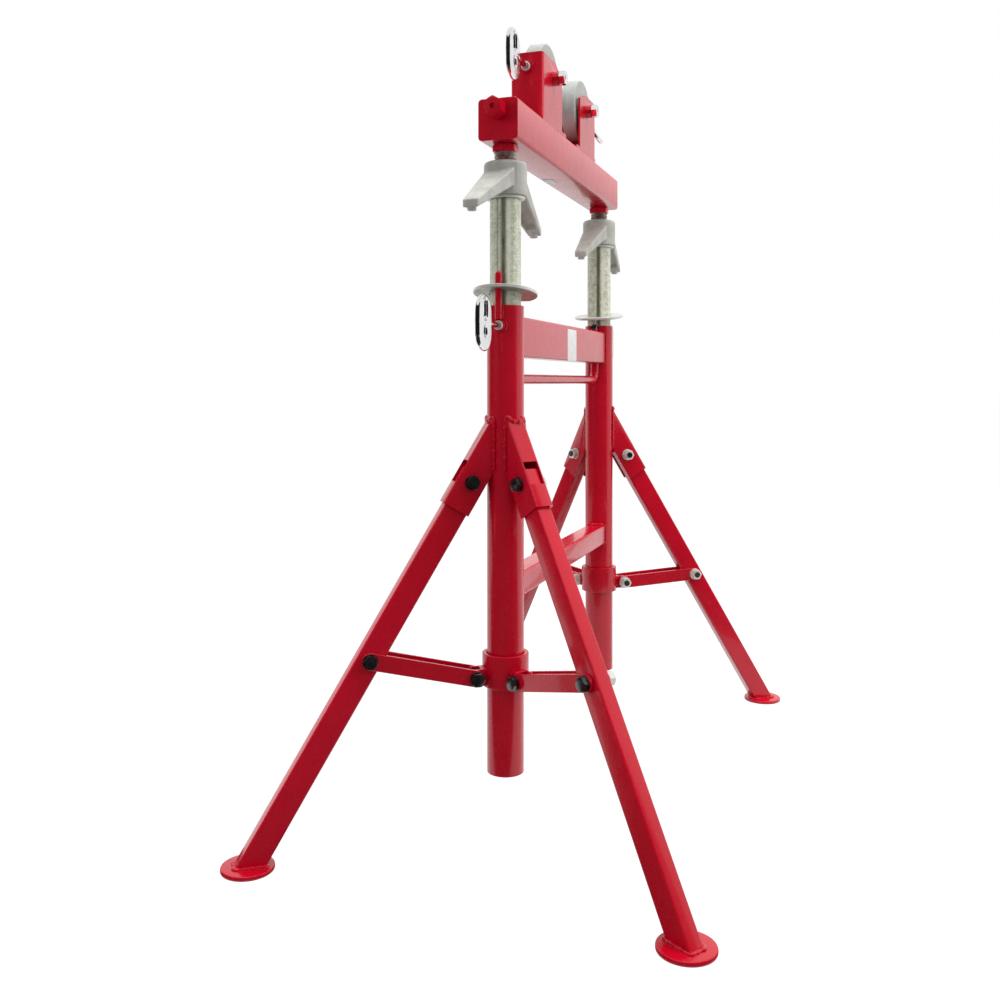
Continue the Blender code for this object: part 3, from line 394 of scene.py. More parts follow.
# %% [markdown]
# ## Red powder coat
# The frame is dipped in thick, glossy red powder paint. It has the faint pebbled skin of baked
# powder, drifts a little in tone, and carries pale rubbed specks from handling. A clear coat
# over a satin base gives the sharp white sheen that the sides show at a glancing angle.

# %% Red powder coat
RED, tree = new_finish("red_powder_coat", 0.28, 0.0, Coat_Weight=0.35,
                       Coat_Roughness=0.06, Specular_IOR_Level=0.34)
body_tone = tones(tree, (6,), (0.52, 0.0012, 0.0150), (0.60, 0.0022, 0.0220))
wear_and_highlight = specks(tree, (70, 5), 0.66, 0.84, 0.16)
pale = tones(tree, (30,), (0.60, 0.03, 0.04), (0.66, 0.06, 0.07), 0.0, 1.0)
laid(tree, blended(tree, wear_and_highlight, body_tone, pale), ((520, 2), 0.000012),
     ((40,), 0.24, 0.30))
print("finish:", RED.name)

# %% [markdown]
# ## Zinc in three states
# The inner tubes are drawn steel with dull zinc: lengthwise die streaks, fine rings where the
# clutch disc has bitten, and a green-grey cast. Two lines are painted down each tube: painted
# shade inside the groove, and beside the groove a painted highlight strip. Washers, nuts and
# flanges have bright new zinc. The underside of a disc is painted darker as painted shade.

# %% Galvanised tube
# The first line carries painted shade down the groove, the second a painted highlight beside it.
GROOVE_SHADE_LINE, HIGHLIGHT_LINE = -0.0040, -0.0125
GALVANISED, tree = new_finish("galvanised_tube", 0.48, 0.05)
streaks = tones(tree, (1, 4, (150, 150, 5)), (0.53, 0.545, 0.41), (0.78, 0.81, 0.65), 0.30, 0.72)
bites = specks(tree, (1, 3, (9, 9, 640)), 0.54, 0.68, 0.60)
bitten = tones(tree, (20,), (0.42, 0.43, 0.33), (0.92, 0.94, 0.84), 0.3, 0.6)
flecks = specks(tree, (1, 4, (230, 230, 620)), 0.49, 0.60, 0.85)
fleck_tone = tones(tree, (110,), (0.38, 0.385, 0.27), (0.92, 0.94, 0.80), 0.42, 0.58)
flecked = blended(tree, flecks, blended(tree, bites, streaks, bitten), fleck_tone)
across = node(tree, "SeparateXYZ", node(tree, "TexCoord").outputs["Object"]).outputs["Y"]


def band(y, core, edge, share):
    """A share along one line of the tube: whole within the core and gone at the edge."""
    away = worked(tree, "ABSOLUTE", worked(tree, "SUBTRACT", across, y))
    return ranged(tree, away, share, 0.0, core, edge)


# Painted highlight: a bright strip down the tube beside the groove.
painted_highlight_tone = tones(tree, (1, 3, (200, 200, 20)), (0.80, 0.82, 0.68), (0.98, 1.0, 0.88))
wear_and_highlight = blended(tree, band(HIGHLIGHT_LINE, 0.0010, 0.0036, 0.60), flecked, painted_highlight_tone)
# Painted shade: a dark stripe down the groove.
painted_groove_shade = tones(tree, (1, 4, (300, 300, 40)), (0.06, 0.065, 0.04), (0.24, 0.25, 0.17), 0.35)
groove_shaded = blended(tree, band(GROOVE_SHADE_LINE, 0.0020, 0.0056, 0.92), wear_and_highlight, painted_groove_shade)
laid(tree, groove_shaded, ((1, 3, (220, 220, 30)), 0.00006), ((1, 3, (60, 60, 12)), 0.38, 0.56))


# %% Bright zinc and clutch disc zinc
def zinc(tree):
    """The cloudy grey of new zinc."""
    return tones(tree, (55, 4), (0.68, 0.69, 0.64), (0.80, 0.81, 0.76))


ZINC, tree = new_finish("bright_zinc", 0.36, 0.35)
laid(tree, zinc(tree), ((420,), 0.00004), ((140,), 0.30, 0.46))

DISC, tree = new_finish("clutch_disc_zinc", 0.34, 0.35)
# Painted shade: faces that look down are painted darker.
painted_underside_shade = tones(tree, (90, 4), (0.14, 0.145, 0.115), (0.34, 0.35, 0.29))
facing = node(tree, "SeparateXYZ", node(tree, "TexCoord").outputs["Normal"]).outputs["Z"]
below = ranged(tree, facing, 0.85, 0.0, -0.9, -0.4)
laid(tree, blended(tree, below, zinc(tree), painted_underside_shade), ((420,), 0.00004),
     ((140,), 0.28, 0.44))
print("finishes:", GALVANISED.name, ZINC.name, DISC.name)

# %% [markdown]
# ## Chrome, black steel and dark screw steel
# The pull rings are polished chrome, nearly a mirror with faint waves. Bolt heads and threads
# are blackened steel. The screws are dark oiled steel on which red overspray has settled.

# %% Chrome, black steel and screw steel
CHROME, tree = new_finish("chrome", 0.12, 1.0)
laid(tree, tones(tree, (40,), (0.70, 0.71, 0.71), (0.82, 0.82, 0.82)),
     ((60, 1), 0.00001), ((160,), 0.08, 0.20))

BLACK, tree = new_finish("blackened_steel", 0.30, 0.0, Specular_IOR_Level=0.9)
soot = tones(tree, (90,), (0.006, 0.006, 0.007), (0.018, 0.018, 0.018), 0.3, 0.75)
laid(tree, soot, ((600,), 0.00004), ((200,), 0.22, 0.34))

SCREW, tree = new_finish("screw_steel", 0.42, 0.6)
steel = tones(tree, (80, 4), (0.160, 0.140, 0.130), (0.520, 0.450, 0.420))
spray = specks(tree, (48, 5), 0.55, 0.66, 0.80)
red = tones(tree, (20,), (0.30, 0.010, 0.020), (0.44, 0.020, 0.030))
laid(tree, blended(tree, spray, steel, red), ((500,), 0.00005))
print("finishes:", CHROME.name, BLACK.name, SCREW.name)

# %% [markdown]
# ## Cast grey, roller grey and label white
# The wing nuts are sand castings painted a warm light grey, so their skin is coarsely pebbled.
# The rollers are smooth pressed grey with dusty rims. The stickers are plain white.

# %% Cast grey, roller grey and label white
CAST, tree = new_finish("cast_grey", 0.58, 0.08)
skin = tones(tree, (38, 5), (0.42, 0.42, 0.38), (0.59, 0.59, 0.54), 0.28, 0.72)
pits = specks(tree, (260, 4), 0.62, 0.72, 0.55)
dirt = tones(tree, (30,), (0.20, 0.19, 0.175), (0.27, 0.26, 0.24), 0.0, 1.0)
laid(tree, blended(tree, pits, skin, dirt), ((330, 4), 0.00022),
     ((120,), 0.45, 0.66))

ROLLER, tree = new_finish("roller_grey", 0.48, 0.0)
grey = tones(tree, (26, 4), (0.37, 0.385, 0.36), (0.46, 0.475, 0.45))
dust = specks(tree, (110, 5), 0.60, 0.72, 0.5)
chalk = tones(tree, (10,), (0.55, 0.56, 0.54), (0.62, 0.63, 0.60), 0.0, 1.0)
laid(tree, blended(tree, dust, grey, chalk), ((480,), 0.00006), ((80,), 0.40, 0.58))

LABEL, tree = new_finish("label_white", 0.38, 0.0)
laid(tree, tones(tree, (60,), (0.80, 0.79, 0.78), (0.88, 0.87, 0.86)),
     ((240,), 0.00003))
print("finishes:", CAST.name, ROLLER.name, LABEL.name)

# %% [markdown]
# ## Rods, plates, nuts and threads
# Rods and sleeves are the same rectangle of reach and height, turned on the lathe. A disc with
# a notch and a hexagon nut are plates whose reach depends on the direction. A nut's chamfer is
# a cone that takes off its six corners, so the height of its edge depends on how far out the
# corner is. A thread is a cosine in height and angle.

# %% Rods, plates, hexagons and threads
def spun(inner, outer, low, high, ease, paint, place, steps=48, bends=4):
    """A rod or a sleeve: a rectangle of reach and height, eased and turned once round."""
    corners = [(inner, low), (outer, low), (outer, high), (inner, high)]
    return turned(eased(corners, ease, inner > 0, bends), place, steps), inner > 0, paint


def flat_ring(angles, inner, outer, half, ease, place):
    """A flat ring: at each angle, four eased corners between the inner and the outer reach."""
    flat = half - ease
    rows = [(inner + ease, -half), (outer - ease, -half), (outer, -flat), (outer, flat),
            (outer - ease, half), (inner + ease, half), (inner, flat), (inner, -flat)]
    return rings(rows, angles, place)


def hexagon(flats, low, high, paint, place, both=False, dimple=(0, 0)):
    """Half the flats over the cosine from the nearest flat. It is coned at 30 degrees above, and
    below for a nut. A dimple is a radius and a depth."""
    angles, blunt = once_round(72), 0.0002
    corner = flats / 2 / np.cos(np.mod(angles, pi / 3) - pi / 6)
    reach, cone = np.minimum(corner, flats / sqrt(3) * 0.985), flats / 2 * 0.96
    drop = (reach - cone) * tan(radians(30))
    rows = [(0, low), (cone if both else reach - blunt, low),
            (reach, low + (drop if both else blunt)), (reach, high - drop), (cone, high)]
    radius, depth = dimple
    if depth:
        rows += [(radius, high), (radius * 0.9, high - depth)]
    return rings([*rows, (0, high - depth * 1.1)], angles, place), False, paint


def threaded(radius, low, high, pitch, depth, paint, place, steps):
    """A screw: the radius falls by a cosine of height over pitch less the share of a turn."""
    blunt = 0.001
    height = np.linspace(low, high, max(int((high - low) / pitch * 8), 8))
    angle = once_round(steps)
    phase = height[:, None] / pitch - angle / (2 * pi)
    fall = depth * np.clip(0.5 + 0.75 * np.cos(2 * pi * phase), 0, 1)
    taper = np.minimum(np.minimum(height - low, high - height) / blunt, 1)[:, None]
    reach = radius - fall * taper - (1 - taper) * blunt * 0.6
    return rings([(0, low), *zip(reach, height), (0, high)], angle, place), False, paint


def slab(outline, low, high, ease, place):
    """An outline between two heights; its rims are the outline drawn in about its own middle."""
    middle = (outline.max(0) + outline.min(0)) / 2
    size = (outline.max(0) - outline.min(0)) / 2
    inset, point = middle + (outline - middle) * (1 - ease / size), middle + 0 * outline
    rows = [(point, low), (inset, low), (outline, low + ease), (outline, high - ease),
            (inset, high), (point, high)]
    return stacked(rows, place), False, RED


# %% [markdown]
# ## Welds
# The stand is held together by hand-laid welds, and they show as lumpy fillets at the feet,
# the brackets and the bosses. A bead is a small round carried along the joint, swollen and
# pinched every few millimetres like the ripples of a weld pool.

# %% Welds
def weld(path, up, radius, closed=False):
    """A bead: a flattened round whose size follows three sines of the length along the joint."""
    path = evenly(path, closed=closed)
    turn, count = once_round(len(path)), len(path)
    waves = [(0.06, count // 5), (0.12, count // 12 + 1), (0.12, count // 31 + 2)]
    ripple = 1 + sum(size * np.sin(turn * times + times) for size, times in waves)
    return carried(circle(radius, 10) * (1, 0.8), path, up, closed, ripple), closed, RED


# %% [markdown]
# ## Where the pieces stand
# Both posts and all four legs are drawn once in a frame of their own. The near post's frame
# is turned half round, so that its +X also points away from the other post. A leg's frame is
# turned from there by the angle at which it spreads.

# %% Post, leg and pivot frames
SPACING, POST_RADIUS, POST_BORE = 0.602, 0.0285, 0.0245
SIDES = {"near": -1, "far": 1}
OUTWARD = {"near": about("Z", pi), "far": HERE}
POST = {side: moved(sign * SPACING / 2, 0, 0) @ OUTWARD[side] for side, sign in SIDES.items()}
AZIMUTH, TILT = radians(54.34), radians(31.04)
PIVOT_OUT, PIVOT_HEIGHT = POST_RADIUS + 0.0287, 0.5473
PIVOT = moved(PIVOT_OUT, 0, PIVOT_HEIGHT) @ about("Y", -TILT)
HANDED = {1: HERE, -1: FLIPPED}     # the bolts of a post's two legs mirror each other
LEGS = [(side, hand, side + ("_left" if SIDES[side] * hand > 0 else "_right"),
         POST[side] @ about("Z", hand * AZIMUTH)) for side in SIDES for hand in (1, -1)]


def wall_at(radius, y):
    """Where a round wall lies at a width y: the root of radius squared less y squared."""
    return np.sqrt(radius ** 2 - y ** 2)


print("legs:", [name for _, _, name, _ in LEGS])

# %% [markdown]
# ## Posts
# Each post is a thick tube with a stop rod and a boss for the pull pin welded to its outer
# side. The tube is one closed profile on the lathe, so that its wall shows at the open ends.

# %% Posts
PIN_HEIGHT, POST_LOW, POST_TOP, ROD_TOP = 0.786, 0.100, 0.817, 0.868
ROD_RADIUS, ROD_FOOT = 0.00525, 0.795
ROD_OUT = POST_RADIUS + ROD_RADIUS - 0.001
SEAM_RADIUS, NECK_EASE = 0.0103, [0.0002, 0.0006, 0.0026, 0.0002]
for side, here in POST.items():
    y, z = circle(SEAM_RADIUS, 60).T
    ring = placed(np.stack([wall_at(POST_RADIUS, y), y, PIN_HEIGHT + z], 1), here)
    tip = bow((0, ROD_TOP - ROD_RADIUS), ROD_RADIUS, 0, pi / 2, 8)
    stop_rod = np.vstack([[(0, ROD_FOOT), (ROD_RADIUS, ROD_FOOT)], tip])
    skins = [spun(POST_BORE, POST_RADIUS, POST_LOW, POST_TOP, 0.0009, RED, here, 96),
             weld(ring, here[:3, 0], 0.0018, True),
             (turned(stop_rod, here @ moved(ROD_OUT, 0, 0), 32), False, RED)]
    for y in (-0.0046, 0.0046):
        seam = [(POST_RADIUS + 0.0006, y, z) for z in (ROD_FOOT + 0.002, POST_TOP - 0.0015)]
        skins.append(weld(placed(seam, here), here[:3, 0], 0.0020))
    # A boss, and the bright threaded neck in it, both bored for the plunger.
    pin = here @ moved(POST_RADIUS, 0, PIN_HEIGHT) @ ALONG_X
    skins += [spun(0.0049, 0.0095, -0.001, 0.0045, 0.0012, RED, pin),
              spun(0.0046, 0.00725, 0.002, 0.0075, NECK_EASE, ZINC, pin, bends=6)]
    piece(side + "_post_painted", "frame", skins, side + "_post")
print("posts: 2, height", round(POST_TOP - POST_LOW, 3), "m")

# %% [markdown]
# ## Crossbars
# Two box-section bars are coped to the posts and welded all round. The outline of the box is
# carried along X, and each of its points stops where it meets the post's round wall.

# %% Crossbars
COPE, BAR_WIDTH = POST_RADIUS + 0.0003, 0.038


def crossbar(name, height, top, bead):
    """Each outline point runs to half the spacing less the root of cope squared less y squared."""
    outline, middle = rounded(BAR_WIDTH, height, 0.004), top - height / 2
    y, z = outline[:, 0], outline[:, 1] + middle
    end, flat = SPACING / 2 - wall_at(COPE, y), SPACING / 2 - COPE
    rows = [(-flat, 0 * y, middle), (-end, y, z), (end, y, z), (flat, 0 * y, middle)]
    grid = [np.column_stack(np.broadcast_arrays(*row)) for row in rows]
    skins = [(np.stack(grid), False, RED)]
    for sign in (-1, 1):
        path = np.stack([sign * (end - 0.0004), y * 1.02, z], 1)
        skins.append(weld(path, (1, 0, 0), 0.0022, True))
        width = np.linspace(-0.4, 0.4, 40) * BAR_WIDTH
        meet = sign * (SPACING / 2 - wall_at(COPE + bead / 3, width))
        path = np.stack([meet, width, 0 * width + top + bead / 4], 1)
        skins.append(weld(path, (0, 0, 1), bead))
    piece(name + "_painted", "frame", skins, name)


crossbar("upper_crossbar", 0.0635, 0.8025, 0.0026)
crossbar("lower_crossbar", 0.038, 0.403, 0.0046)
print("crossbars: 2")

# %% [markdown]
# ## Blank stickers
# The crossbar carries a small white sticker, and the beam one underneath. Both are left blank.
# Each is a thin eased sheet that sits on the paint.

# %% Blank stickers
def sticker(name, body, width, height, place):
    """A rounded outline, drawn in by a little at its top, one fifth of a millimetre thick."""
    outline, rim = rounded(width, height, 0.002), 0.0004
    inset = rounded(width - rim, height - rim, 0.0018)
    rows = [(0 * outline, 0.0), (outline, 0.0), (outline, 0.00015), (inset, 0.0002),
            (0 * inset, 0.0002)]
    piece(name, body, [(stacked(rows, place), False, LABEL)])


sticker("crossbar_blank_label", "frame", 0.061, 0.057,
        moved(0.0175, -BAR_WIDTH / 2 - 0.00005, 0.7675) @ UPRIGHT)

# %% [markdown]
# ## Carry handle
# A round bar is bent down from the upper crossbar and back up. It is a circle carried along
# one flat path of straight runs and quarter circles.

# %% Carry handle
HANDLE_TOP, HANDLE_LOW, BEND, HALF_SPAN = 0.7387, 0.7047, 0.022, 0.264
turn_x, turn_z = HALF_SPAN - BEND, HANDLE_LOW + BEND
x, z = np.vstack([[(-HALF_SPAN, HANDLE_TOP)], bow((-turn_x, turn_z), BEND, pi, 1.5 * pi, 14),
                  bow((turn_x, turn_z), BEND, 1.5 * pi, 2 * pi, 14), [(HALF_SPAN, HANDLE_TOP)]]).T
skins = [(carried(circle(0.008), np.stack([x, 0 * x, z], 1), (0, 1, 0)), False, RED)]
for sign in (-1, 1):
    rim = stacked([(circle(0.0085, 40), HANDLE_TOP - 0.0006)], moved(sign * HALF_SPAN, 0, 0))[0]
    skins.append(weld(rim, (0, 0, 1), 0.0018, True))
piece("carry_handle_painted", "frame", skins, "carry_handle")
print("carry handle: 1")

# %% [markdown]
# ## Legs and foot pads
# A leg is a rectangular tube. Its lower end is cut level, so each point of the outline runs down
# to where its line meets the foot pad. The pad is a pressed disc, welded on all round.

# %% Legs and foot pads
FOOT, PAD_RADIUS, LEG_TOP = 0.006, 0.0385, 0.0160
FOOT_OUT = PIVOT_OUT + PIVOT_HEIGHT * tan(TILT)


def level_end(outline, height):
    """An outline with the distance down a leg at which each point reaches a height."""
    return outline, (height - PIVOT_HEIGHT - outline[:, 0] * sin(TILT)) / cos(TILT)


for side, hand, name, here in LEGS:
    outer, inner = rounded(0.038, 0.025, 0.003), rounded(0.033, 0.020, 0.001)
    soft, cut = rounded(0.0372, 0.0242, 0.0026), FOOT + 0.0003
    rows = [level_end(soft, cut), (outer, level_end(outer, cut)[1] + 0.0006),
            (outer, LEG_TOP - 0.0008), (soft, LEG_TOP), (inner, LEG_TOP), level_end(inner, cut)]
    skins = [(stacked(rows, here @ PIVOT), True, RED)]
    piece(name + "_leg_tube", name + "_leg", skins, name + "_leg")
    seam = [level_end(rounded(0.0400, 0.0270, 0.004), FOOT + 0.0004)]
    skins = [spun(0, PAD_RADIUS, 0, FOOT, [0, 0.0006, 0.0022, 0], RED,
                  here @ moved(FOOT_OUT, 0, 0), 96),
             weld(stacked(seam, here @ PIVOT)[0], (0, 0, 1), 0.0033, True)]
    piece(name + "_foot_pad", name + "_leg", skins, name + "_foot_plate")
print("legs: 4, foot circle radius", round(FOOT_OUT, 3), "m")

# %% [markdown]
# ## Leg brackets
# A bracket is a channel bent round the head of a leg, with a window in its web, and welded to the
# post along a slanting cope. The softened CAD copy is the channel. The weld follows the channel's
# outline to where each point meets the post.

# %% Leg brackets
HALF, WEB_FACE, SHEET_BEND = 0.016, 0.0228, 0.0035


def cope_seam(place):
    """Along a leg, a point at depth x and width y meets the post at the cope's root."""
    half, web = HALF + 0.0006 - SHEET_BEND, WEB_FACE + 0.0006 - SHEET_BEND
    ends = [[(-0.019, sign * (half + SHEET_BEND))] for sign in (-1, 1)]
    ring = np.vstack([ends[0], bow((web, -half), SHEET_BEND, -pi / 2, 0, 6),
                      bow((web, half), SHEET_BEND, 0, pi / 2, 6), ends[1]])
    x, y = evenly(ring, count=90).T
    along = (PIVOT_OUT + x * cos(TILT) - wall_at(COPE + 0.0002, y)) / sin(TILT)
    return placed(np.stack([x, y, along], 1), place)


for side, hand, name, here in LEGS:
    softened(name + "_leg_bracket", name + "_bracket_plate", "frame", RED, 0.0009)
    piece(name + "_bracket_weld", "frame", [weld(cope_seam(here @ PIVOT), here[:3, 0], 0.0040)])
print("brackets: 4")

# %% [markdown]
# ## Bolts
# Twelve-millimetre blackened bolts with zinc nuts carry the legs and links. Their heads look
# to the space between a post's two legs, so the near post shows the black heads and the far
# post the bright nuts with the black thread in them. Each head and nut is chamfered.

# %% Bolts
BOLT_RADIUS, BOLT_FLATS, WASHER = 0.006, 0.019, 0.0022


def washer(low, paint, place):
    """A flat ring with eased rims."""
    return spun(BOLT_RADIUS, 0.0115, low, low + WASHER, 0.0005, paint, place, bends=3)


def head_end(outer, place):
    """Washer and head that look along -Z of the place."""
    flip, high = place @ FLIPPED, outer + WASHER
    return [washer(outer, BLACK, flip), hexagon(BOLT_FLATS, high, high + 0.0075, BLACK, flip)]


def nut_end(outer, place):
    """Washer, nut and threaded end that look along +Z of the place."""
    high = outer + WASHER
    return [washer(outer, ZINC, place),
            hexagon(BOLT_FLATS, high, high + 0.010, ZINC, place, both=True),
            threaded(BOLT_RADIUS, high + 0.004, high + 0.013, 0.00175, 0.0008, BLACK, place, 32)]


def bolt(name, body, grip, place):
    """Head, shank and nut along Y of the place."""
    along = place @ ALONG_Y
    skins = [spun(0, BOLT_RADIUS, -grip, grip, 0.0003, BLACK, along, 32)]
    skins += head_end(grip + 0.0003, along) + nut_end(grip + 0.0003, along)
    piece(name + "_set", body, skins, name)


for side, hand, name, here in LEGS:
    pivot = here @ moved(PIVOT_OUT, 0, PIVOT_HEIGHT) @ HANDED[hand]
    bolt(name + "_pivot_bolt", "frame", HALF, pivot)
print("pivot bolts: 4")

# %% [markdown]
# ## Collars
# A collar is a short sleeve that slides on the post. Each of its two ears is a clevis: two
# plates with rounded ends and a web between them, which hold the links on a bolt.

# %% Collars
COLLAR_BORE, COLLAR_RADIUS, COLLAR_LOW, COLLAR_HIGH = 0.0292, 0.036, -0.016, 0.034
EAR_OUT, EAR_ROOT, EAR_HALF = 0.0501, 0.0325, 0.0125
BOLT_HEIGHT = {"near": 0.250, "far": 0.280}


def ear(place):
    """Two plates with round ends, four millimetres thick, and a web near the sleeve."""
    outline = np.vstack([[(EAR_ROOT, EAR_HALF), (EAR_ROOT, -EAR_HALF)],
                         bow((EAR_OUT, 0), EAR_HALF, -pi / 2, pi / 2, 20)])
    web = rounded(0.0090, 2 * EAR_HALF - 0.0004, 0.001) + (0.0365, 0)
    plates = [slab(outline, low, low + 0.004, 0.0007, place) for low in (-0.0125, 0.0085)]
    return plates + [slab(web, -0.010, 0.010, 0.0005, place)]


for side in SIDES:
    here = POST[side] @ moved(0, 0, BOLT_HEIGHT[side])
    skins = [spun(COLLAR_BORE, COLLAR_RADIUS, COLLAR_LOW, COLLAR_HIGH, 0.0015, RED, here, 96)]
    for hand in (1, -1):
        turn = here @ about("Z", hand * AZIMUTH)
        skins += ear(turn @ UPRIGHT)
        for y in (-EAR_HALF, EAR_HALF):
            line = placed([(0.0345, y, -0.0115), (0.0345, y, 0.0115)], turn)
            skins.append(weld(line, turn[:3, 0], 0.0020))
    piece(side + "_collar_sleeve", side + "_collar", skins, side + "_collar")
print("collars: 2")

# %% [markdown]
# ## Links
# Each leg is tied to its collar by two flat bars, one each side of the ear and the leg. The bar's
# outline is two half circles joined by straight sides.

# %% Links
LINK_DROP, LINK_HALF, LINK_FACE, LINK_OUTER = 0.3016, 0.0125, 0.0128, 0.0178


def link_line(side):
    """Length and slope from the ear's bolt to the leg's bolt."""
    across = PIVOT_OUT + LINK_DROP * sin(TILT) - EAR_OUT
    rise = PIVOT_HEIGHT - LINK_DROP * cos(TILT) - BOLT_HEIGHT[side]
    return hypot(across, rise), atan2(rise, across)


for side, hand, name, here in LEGS:
    length, slope = link_line(side)
    eye = here @ moved(EAR_OUT, 0, BOLT_HEIGHT[side])
    outline = np.vstack([bow((0, 0), LINK_HALF, pi / 2, 1.5 * pi, 20),
                         bow((length, 0), LINK_HALF, -pi / 2, pi / 2, 20)])
    for word, turn in (("_outer", HERE), ("_inner", FLIPPED)):
        face = eye @ about("Y", -slope) @ HANDED[hand] @ turn @ UPRIGHT
        tip = face @ moved(length, 0, 0)
        end = head_end(LINK_OUTER, tip @ FLIPPED) if word == "_outer" else nut_end(LINK_OUTER, tip)
        piece(name + word + "_link_bar", name + "_link",
              [slab(outline, LINK_FACE, LINK_OUTER, 0.0007, face), *end], name + word + "_link")
    bolt(name + "_link_bolt", side + "_collar", LINK_OUTER, eye @ HANDED[hand])
print("links: 8 bars, length", [round(link_line(side)[0], 4) for side in SIDES])

# %% [markdown]
# ## Inner tubes
# The inner tubes slide in the posts, with a groove rolled down two sides for the pull pin and
# the guide bolt. The outline is two arcs and two flat-bottomed grooves, carried straight up.

# %% Inner tubes
TUBE_RADIUS, TUBE_BORE, TUBE_TOP, TUBE_LOW = 0.024, 0.020, 0.9807, 0.3647
GROOVE_HALF, GROOVE_FLOOR = 0.00635, 0.0216


def grooved(radius, floor, steps=44):
    """Arcs from the groove's edge angle to its mirror, with the groove's floor between them."""
    edge, half = np.arcsin(GROOVE_HALF / radius), GROOVE_HALF * 0.93
    top, bottom = (bow((0, 0), radius, start + edge, start + pi - edge, steps)
                   for start in (0, pi))
    return np.vstack([top, [(-floor, half), (-floor, -half)], bottom,
                      [(floor, -half), (floor, half)]])


outer = grooved(TUBE_RADIUS, GROOVE_FLOOR)
soft = grooved(TUBE_RADIUS - 0.0006, GROOVE_FLOOR - 0.0005)
bore = outer / np.linalg.norm(outer, axis=1, keepdims=True) * TUBE_BORE
rows = [(soft, TUBE_LOW), (outer, TUBE_LOW + 0.0006), (outer, TUBE_TOP - 0.0006),
        (soft, TUBE_TOP), (bore, TUBE_TOP), (bore, TUBE_LOW)]
for side, here in POST.items():
    piece(side + "_tube_galvanised", "inner_tubes", [(stacked(rows, here), True, GALVANISED)],
          side + "_inner_tube", 25)
    flange = spun(0.018, 0.0305, 0.981, 0.985, 0.0016, ZINC, here, 96, 6)
    piece(side + "_thrust_flange", "inner_tubes", [flange], side + "_thrust_ring")
print("inner tubes: 2")

# %% [markdown]
# ## Guide bolts
# A short bolt through the inner side of each post runs in the tube's groove, so that the tube
# can't turn.

# %% Guide bolts
GUIDE_HEIGHT, GUIDE_FLATS = 0.812, 0.016
for side in SIDES:
    here = POST[side] @ moved(0, 0, GUIDE_HEIGHT) @ about("Z", pi) @ ALONG_X
    skins = [spun(0, 0.004, 0.0221, 0.029, 0.0004, CHROME, here, 32),
             hexagon(GUIDE_FLATS, 0.0288, 0.0353, CHROME, here @ about("Z", pi / 2))]
    piece(side + "_guide_bolt_set", "frame", skins, side + "_guide_bolt")
print("guide bolts: 2")

# %% [markdown]
# ## Clutch discs
# A zinc disc sits tilted on each tube and bites into it under load. One edge is cut flat, and a
# notch lets it slide on the stop rod. Both the bore and the rim are functions of the direction.

# %% Clutch discs
DISC_TILT, DISC_HEIGHT, DISC_HALF, DISC_RADIUS, DISC_CUT = radians(10), 0.837, 0.0025, 0.05, 0.043


def disc_reach():
    """Outer reach: the rim or the flat cut. Inner reach: the bore or the notch, the larger."""
    bore = 0.0243 / cos(DISC_TILT) + DISC_HALF * tan(DISC_TILT)
    notch_half, notch_end = 0.00615, ROD_OUT / cos(DISC_TILT) + 0.00615
    edge, corner = np.arcsin(notch_half / bore), atan2(notch_half, notch_end)
    flat = np.arccos(-DISC_CUT / DISC_RADIUS)
    marks = np.array([-edge, -edge + 0.002, -corner, corner, edge - 0.002, edge, flat, -flat])
    angles = np.unique(np.concatenate([once_round(144) - pi, marks]))
    cosine, sine = np.cos(angles), np.abs(np.sin(angles))
    outer = np.minimum(DISC_RADIUS, np.where(cosine < 0, DISC_CUT / np.maximum(-cosine, 1e-6), 1))
    notch = np.minimum(notch_end / np.maximum(cosine, 1e-6), notch_half / np.maximum(sine, 1e-6))
    inner = np.maximum(bore, np.where((cosine > 0) & (sine * bore <= notch_half), notch, 0))
    return angles, inner, outer


for side in SIDES:
    here = POST[side] @ moved(0, 0, DISC_HEIGHT) @ about("Y", -DISC_TILT)
    grid = flat_ring(*disc_reach(), DISC_HALF, 0.0007, here)
    piece(side + "_clutch_plate", side + "_clutch_disc", [(grid, True, DISC)],
          side + "_clutch_disc", 30)
print("clutch discs: 2")

# %% [markdown]
# ## Castings: wing nuts and pull rings
# A wing nut is a rough sand casting: a hub with two sloping wings, hollow below, and a lug
# under each tip. A pull pin ends in a cast, chromed oval with two slots. It starts as two flat
# rings that overlap at the bridge, and the remesh melts them and the plunger into one casting.

# %% Wing nuts
for side in SIDES:
    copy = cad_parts[side + "_wing_nut"].data.copy()
    cast(copy, side + "_wing_casting", side + "_wing_nut", CAST)

# %% Pull rings
STANDOFF, PULL_WIDTH, PULL_HEIGHT, BRIDGE = 0.043, 0.054, 0.083, 0.011
SLOTS = ((1, 0.018, 0.0295), (-1, 0.012, 0.014))      # above or below the bridge, width, height
CARRIAGE_SEAT, CARRIAGE_OUTER, AXLE_X = 1.1298, 0.0645, {"near": -0.130, "far": 0.092}
PIN_RISE, RING_LEAN = CARRIAGE_SEAT + 0.0878, {"near": HERE, "far": about("X", radians(-35))}
CARRIAGE_PIN = {side: moved(AXLE_X[side], 0, PIN_RISE) @ OUTWARD[side] for side in SIDES}
PINS = [(side + "_post", POST_RADIUS, 0.0221, POST[side] @ moved(0, 0, PIN_HEIGHT))
        for side in SIDES]
PINS += [(side + "_carriage", CARRIAGE_OUTER, 0.061, CARRIAGE_PIN[side] @ RING_LEAN[side])
         for side in SIDES]


def reach(outline, centre, angles):
    """How far an outline lies from a point in each direction, read from its angles and radii."""
    x, y = (evenly(outline, 0.0004, True) - centre).T
    return np.interp(angles, np.arctan2(y, x), np.hypot(x, y), period=2 * pi)


